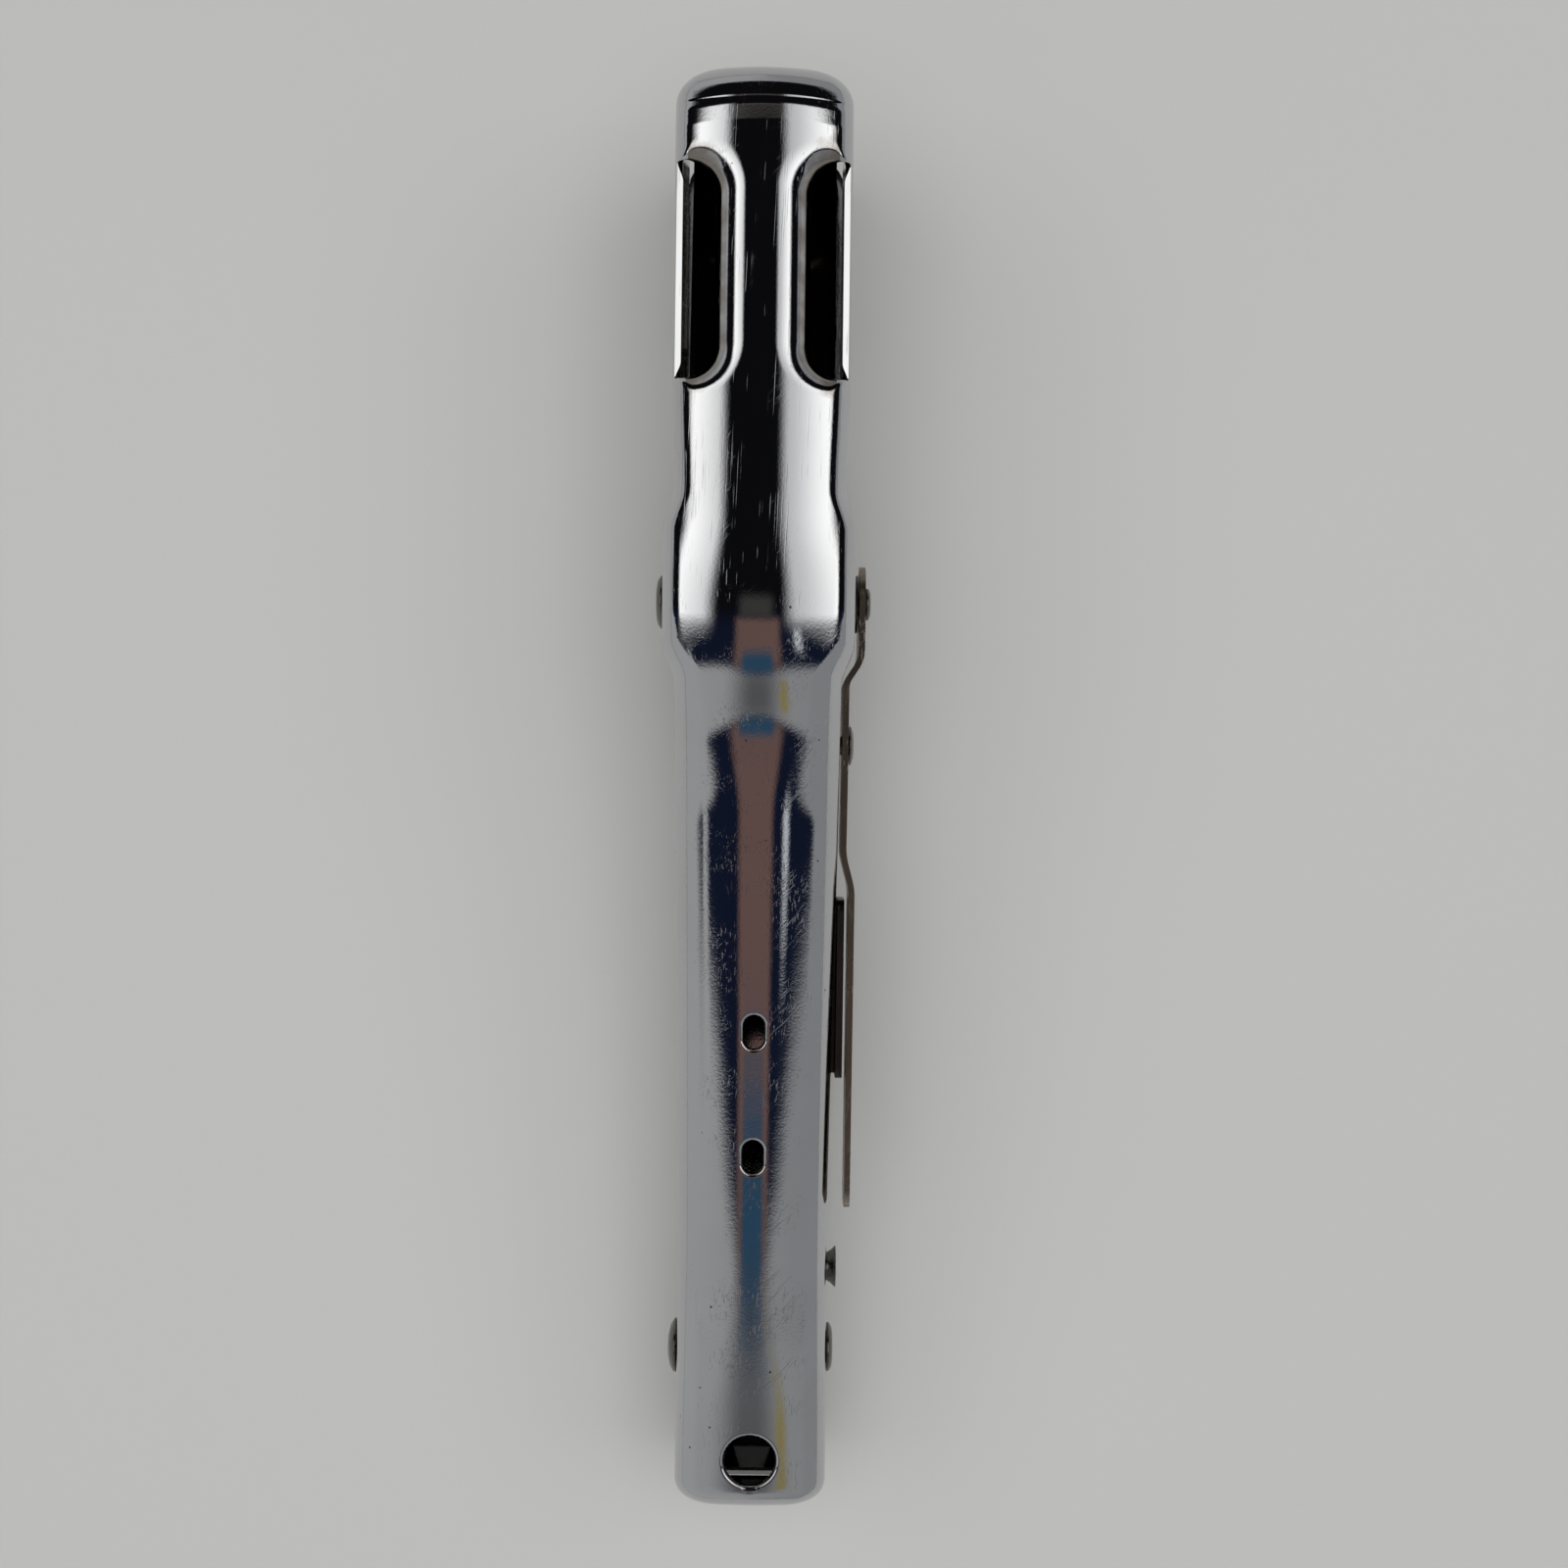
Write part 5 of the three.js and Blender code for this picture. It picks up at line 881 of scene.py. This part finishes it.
def turned(node, name, profile, axis=0, material=dark_nickel, slot="dark_nickel", radius=0.16):
    """A turned piece on the axis of the node that it stands for.

    profile is a list of (place along the axis, radius). A profile that starts clear of the axis is a
    tube, and its last point joins its first.
    """
    low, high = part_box(node)
    middle = [(low[k] + high[k]) * 500 for k in range(3)]
    points = rounded(profile, radius)
    tube = profile[0][1] > 0
    first_across, second_across = (axis + 1) % 3, (axis + 2) % 3
    sides = 72
    verts = []
    for place, reach in points:
        for side in range(sides):
            turn = 2 * math.pi * side / sides
            spot = [0.0, 0.0, 0.0]
            spot[axis] = place
            spot[first_across] = middle[first_across] + reach * math.cos(turn)
            spot[second_across] = middle[second_across] + reach * math.sin(turn)
            verts.append([part / 1000 for part in spot])
    rows = len(points)
    pairs = [(row, row + 1) for row in range(rows - 1)] + ([(rows - 1, 0)] if tube else [])
    faces = [(a * sides + s, a * sides + (s + 1) % sides, b * sides + (s + 1) % sides, b * sides + s)
             for a, b in pairs for s in range(sides)]
    mesh = bpy.data.meshes.new(name)
    mesh.from_pydata(verts, [], faces)
    form = bmesh.new()
    form.from_mesh(mesh)
    bmesh.ops.remove_doubles(form, verts=form.verts, dist=2e-6)
    bmesh.ops.recalc_face_normals(form, faces=form.faces)
    for face in form.faces:
        face.smooth = True
    for line in form.edges:
        line.smooth = line.calc_face_angle(0) < math.radians(40)
    form.to_mesh(mesh)
    form.free()
    mesh.materials.append(material)
    obj = bpy.data.objects.new(name, mesh)
    scene.collection.objects.link(obj)
    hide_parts(node)
    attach(obj, body_of[node])


def tube(start, end, bore, outer):
    """The profile of a plain tube or washer."""
    return [(start, bore), (start, outer), (end, outer), (end, bore), (start, bore)]


# Each profile runs from the left end to the right, or from the tail toward the nose on axis 1.
turned("main_pivot_pin", "pivot_pin", [
    (-12.85, 0), (-12.85, 1.9), (-12.72, 2.75), (-12.3, 3.35), (-11.78, 3.35), (-11.76, 2.5), (11.7, 2.5),
    (11.7, 1.56), (13.2, 1.56), (13.2, 2.0), (13.55, 1.98), (13.8, 1.35), (13.68, 0.7), (13.62, 0)])
turned("tail_rivet", "handle_rivet", [
    (-10.78, 0), (-10.74, 1.3), (-10.45, 2.6), (-9.98, 3.38), (-9.62, 3.38), (-9.6, 1.9), (9.62, 1.9),
    (9.62, 3.05), (9.95, 3.08), (10.3, 2.5), (10.43, 1.75), (10.2, 1.2), (10.12, 0)])
turned("spring_anchor_pin", "spring_anchor", [
    (-8.2, 0), (-8.2, 1.8), (9.6, 1.8), (10.1, 2.12), (10.66, 2.68), (10.7, 2.4), (10.2, 1.5), (10.05, 0)])
turned("strip_rivet", "strip_rivet_head", [
    (7.06, 0), (7.06, 1.5), (7.4, 2.1), (7.7, 2.1), (7.7, 1.2), (11.38, 1.2), (11.38, 2.48), (11.62, 2.42),
    (11.93, 1.5), (11.95, 0)])
for end in ("front", "rear"):
    turned("latch_ear_rivet_" + end, "ear_rivet_" + end, [
        (7.25, 0), (7.25, 1.3), (7.5, 2.05), (7.8, 2.1), (7.8, 1.2), (10.14, 1.2), (10.14, 2.08),
        (10.4, 2.0), (10.72, 1.2), (10.75, 0)])
turned("anvil_rivet", "anvil_cross_rivet", [
    (-11.25, 0), (-11.2, 0.9), (-11.05, 1.75), (-10.8, 2.1), (-10.62, 2.1), (-10.6, 1.2), (10.6, 1.2),
    (10.62, 2.1), (10.8, 2.1), (11.05, 1.75), (11.2, 0.9), (11.25, 0)])
turned("pivot_washer", "blued_washer", tube(11.76, 12.14, 1.7, 3.58), material=blued_steel, radius=0.08)
turned("tail_spacer", "rivet_tube", tube(-7.3, 7.3, 2.02, 2.88))
turned("pivot_sleeve", "pivot_tube", tube(-6.24, 6.24, 2.62, 3.5))
turned("guide_rod", "spring_rod", [
    (-14.0, 0), (-14.0, 1.9), (-13.4, 2.0), (-13.1, 2.0), (-13.1, 1.0), (79.0, 1.0), (79.25, 0.7),
    (79.25, 0)], axis=1, material=ground_steel, slot="bare_steel")
for side in ("left", "right"):
    turned("driver_rivet_" + side, "driver_rivet_head_" + side, [
        (84.7, 0), (84.7, 1.2), (85.0, 1.5), (85.2, 1.5), (85.2, 0.9), (87.35, 0.9), (87.35, 1.5),
        (87.5, 1.5), (87.7, 1.1), (87.7, 0)], axis=1)
turned("lift_spring_rivet", "leaf_rivet", [
    (0.2, 0), (0.2, 1.2), (1.7, 1.2), (1.7, 2.1), (2.0, 2.0), (2.3, 1.2), (2.3, 0)], axis=2)

# ---- The spring strip
# One strip of tempered steel down the right side. Its round eye sits on the peened pivot pin, a
# rivet holds it behind the bulge, and its rear half springs out over the latch ear.
tempered = metal("tempered_steel", (0.33, 0.29, 0.235), (0.13, 0.085, 0.05), 0.24, haze=0.2,
                 streak=0.9, relief=3.0)
foot_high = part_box("strip_foot")[1] * 1000
blade_low, blade_high = (corner * 1000 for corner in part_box("strip_blade"))
strip_sheet = 0.75
strip_gap = 0.35
strip_slope = 0.08
eye_radius = foot_high.y - pivot_y
strip_bend = pivot_y - 30.3


def strip_inner(y):
    """The strip's left face: out over the ear, close along the shell, and out again over the bulge."""
    over_ear = blade_high.x - strip_sheet
    blade = between(over_ear, shell_half(y) + strip_gap, ease(strip_bend - 6, strip_bend, y))
    return between(blade, foot_high.x - strip_sheet, ease(bulge_rear - 5, bulge_rear, y))


strip_y = places((blade_low.y, strip_bend - 8, 1.2), (strip_bend - 8, strip_bend + 2, 0.35),
                 (strip_bend + 2, pivot_y - 11, 1.2), (pivot_y - 11, pivot_y, 0.35),
                 (pivot_y, foot_high.y - 0.6, 0.25), (foot_high.y - 0.6, foot_high.y - 0.001, 0.06))
half_tall = between(3.5, 4.6, (strip_y - blade_low.y) / (foot_high.y - blade_low.y))
round_eye = np.sqrt(np.maximum(eye_radius ** 2 - np.maximum(strip_y - pivot_y, 0) ** 2, 0))
half_tall = np.minimum(half_tall, round_eye) - corner_fall(1.2, strip_y - blade_low.y)
up_strip = np.linspace(-1, 1, 9)
strip_points = [(strip_inner(y) + strip_sheet, y, pivot_z + (y - pivot_y) * strip_slope + half * up)
                for y, half in zip(strip_y, half_tall) for up in up_strip]
wide = len(up_strip)
strip_faces = [[i * wide + j, (i + 1) * wide + j, (i + 1) * wide + j + 1, i * wide + j + 1]
               for i in range(len(strip_y) - 1) for j in range(wide - 1)]
strip = sheet_mesh("spring_strip", strip_points, strip_faces, np.full(len(strip_points), strip_sheet))
broken_edges = strip.modifiers.new("broken_edges", "BEVEL")
broken_edges.width = 0.00012
broken_edges.segments = 2
broken_edges.limit_method = "ANGLE"
broken_edges.angle_limit = math.radians(50)
strip.data.materials.append(tempered)
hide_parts("strip_foot", "strip_blade")
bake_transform(strip)

# ---- The springs
# Three springs: a torsion spring of round wire on the anchor pin, with one leg under the shell and
# one on the lever, a long coil on the guide rod, and a leaf that lifts the magazine.
spring_wire = metal("spring_wire", (0.36, 0.34, 0.31), (0.14, 0.1, 0.07), 0.22, haze=0.2, relief=2.0)


def wound(name, points, radius, node):
    """A round wire along a smooth line, in place of a node."""
    line = bpy.data.curves.new(name, "CURVE")
    line.dimensions = "3D"
    line.bevel_depth = radius / 1000
    line.bevel_resolution = 4
    line.use_fill_caps = True
    spline = line.splines.new("NURBS")
    spline.points.add(len(points) - 1)
    for spot, point in zip(spline.points, points):
        spot.co = (point[0] / 1000, point[1] / 1000, point[2] / 1000, 1)
    spline.order_u = 4
    spline.use_endpoint_u = True
    spline.resolution_u = 3
    line.materials.append(spring_wire)
    drawn = bpy.data.objects.new(name + "_line", line)
    mesh = bpy.data.meshes.new_from_object(drawn)
    mesh.name = name
    mesh.polygons.foreach_set("use_smooth", np.ones(len(mesh.polygons), bool))
    bpy.data.objects.remove(drawn)
    obj = bpy.data.objects.new(name, mesh)
    scene.collection.objects.link(obj)
    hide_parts(node)
    return obj


# Half the wire's thickness, and the coil's radius at the middle of the wire.
spring_low, spring_high = (corner * 1000 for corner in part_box("handle_spring"))
wire, coil = 0.7, 3.5
pitch = 2 * wire + 0.25
coil_turns = 3
first_x = -coil_turns * pitch / 2
leg_top, leg_foot = spring_high.z - wire, spring_low.z + wire
wound_line = [(first_x, anchor_y + 17, leg_top - 0.1), (first_x, anchor_y + 13, leg_top - 0.5),
              (first_x, anchor_y + 6, between(leg_top, anchor_z + coil, 0.6))]
per_turn = 16
last = coil_turns * per_turn + per_turn // 2
for i in range(last + 1):
    turn = math.pi / 2 + 2 * math.pi * i / per_turn
    wound_line.append((first_x + pitch * i / per_turn, anchor_y + coil * math.cos(turn),
                       anchor_z + coil * math.sin(turn)))
end_x = first_x + pitch * last / per_turn
wound_line += [(end_x, anchor_y + 9, between(anchor_z - coil, leg_foot, 0.32)),
               (end_x, anchor_y + 20, between(anchor_z - coil, leg_foot, 0.66)),
               (end_x, anchor_y + 29, leg_foot + 0.5), (end_x, anchor_y + 33, leg_foot)]
handle_spring = wound("torsion_spring", wound_line, wire, "handle_spring")
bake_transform(handle_spring)

rod_low, rod_high = (corner * 1000 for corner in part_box("guide_rod"))
rod_z = (rod_low.z + rod_high.z) / 2
coil_low, coil_high = (corner * 1000 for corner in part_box("follower_spring"))
turns, turn_steps, coil_radius = 34, 12, 1.62
first_y, last_y = coil_low.y + 0.3, coil_high.y - 0.3
helix = []
for i in range(turns * turn_steps + 1):
    turn = 2 * math.pi * i / turn_steps
    helix.append((coil_radius * math.cos(turn), between(first_y, last_y, i / (turns * turn_steps)),
                  rod_z + coil_radius * math.sin(turn)))
follower_spring = wound("long_coil", helix, 0.26, "follower_spring")
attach(follower_spring, "magazine")
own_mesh(follower_spring)

finished("magazine_lift_spring", "lift_leaf", tempered, edge=0.1)
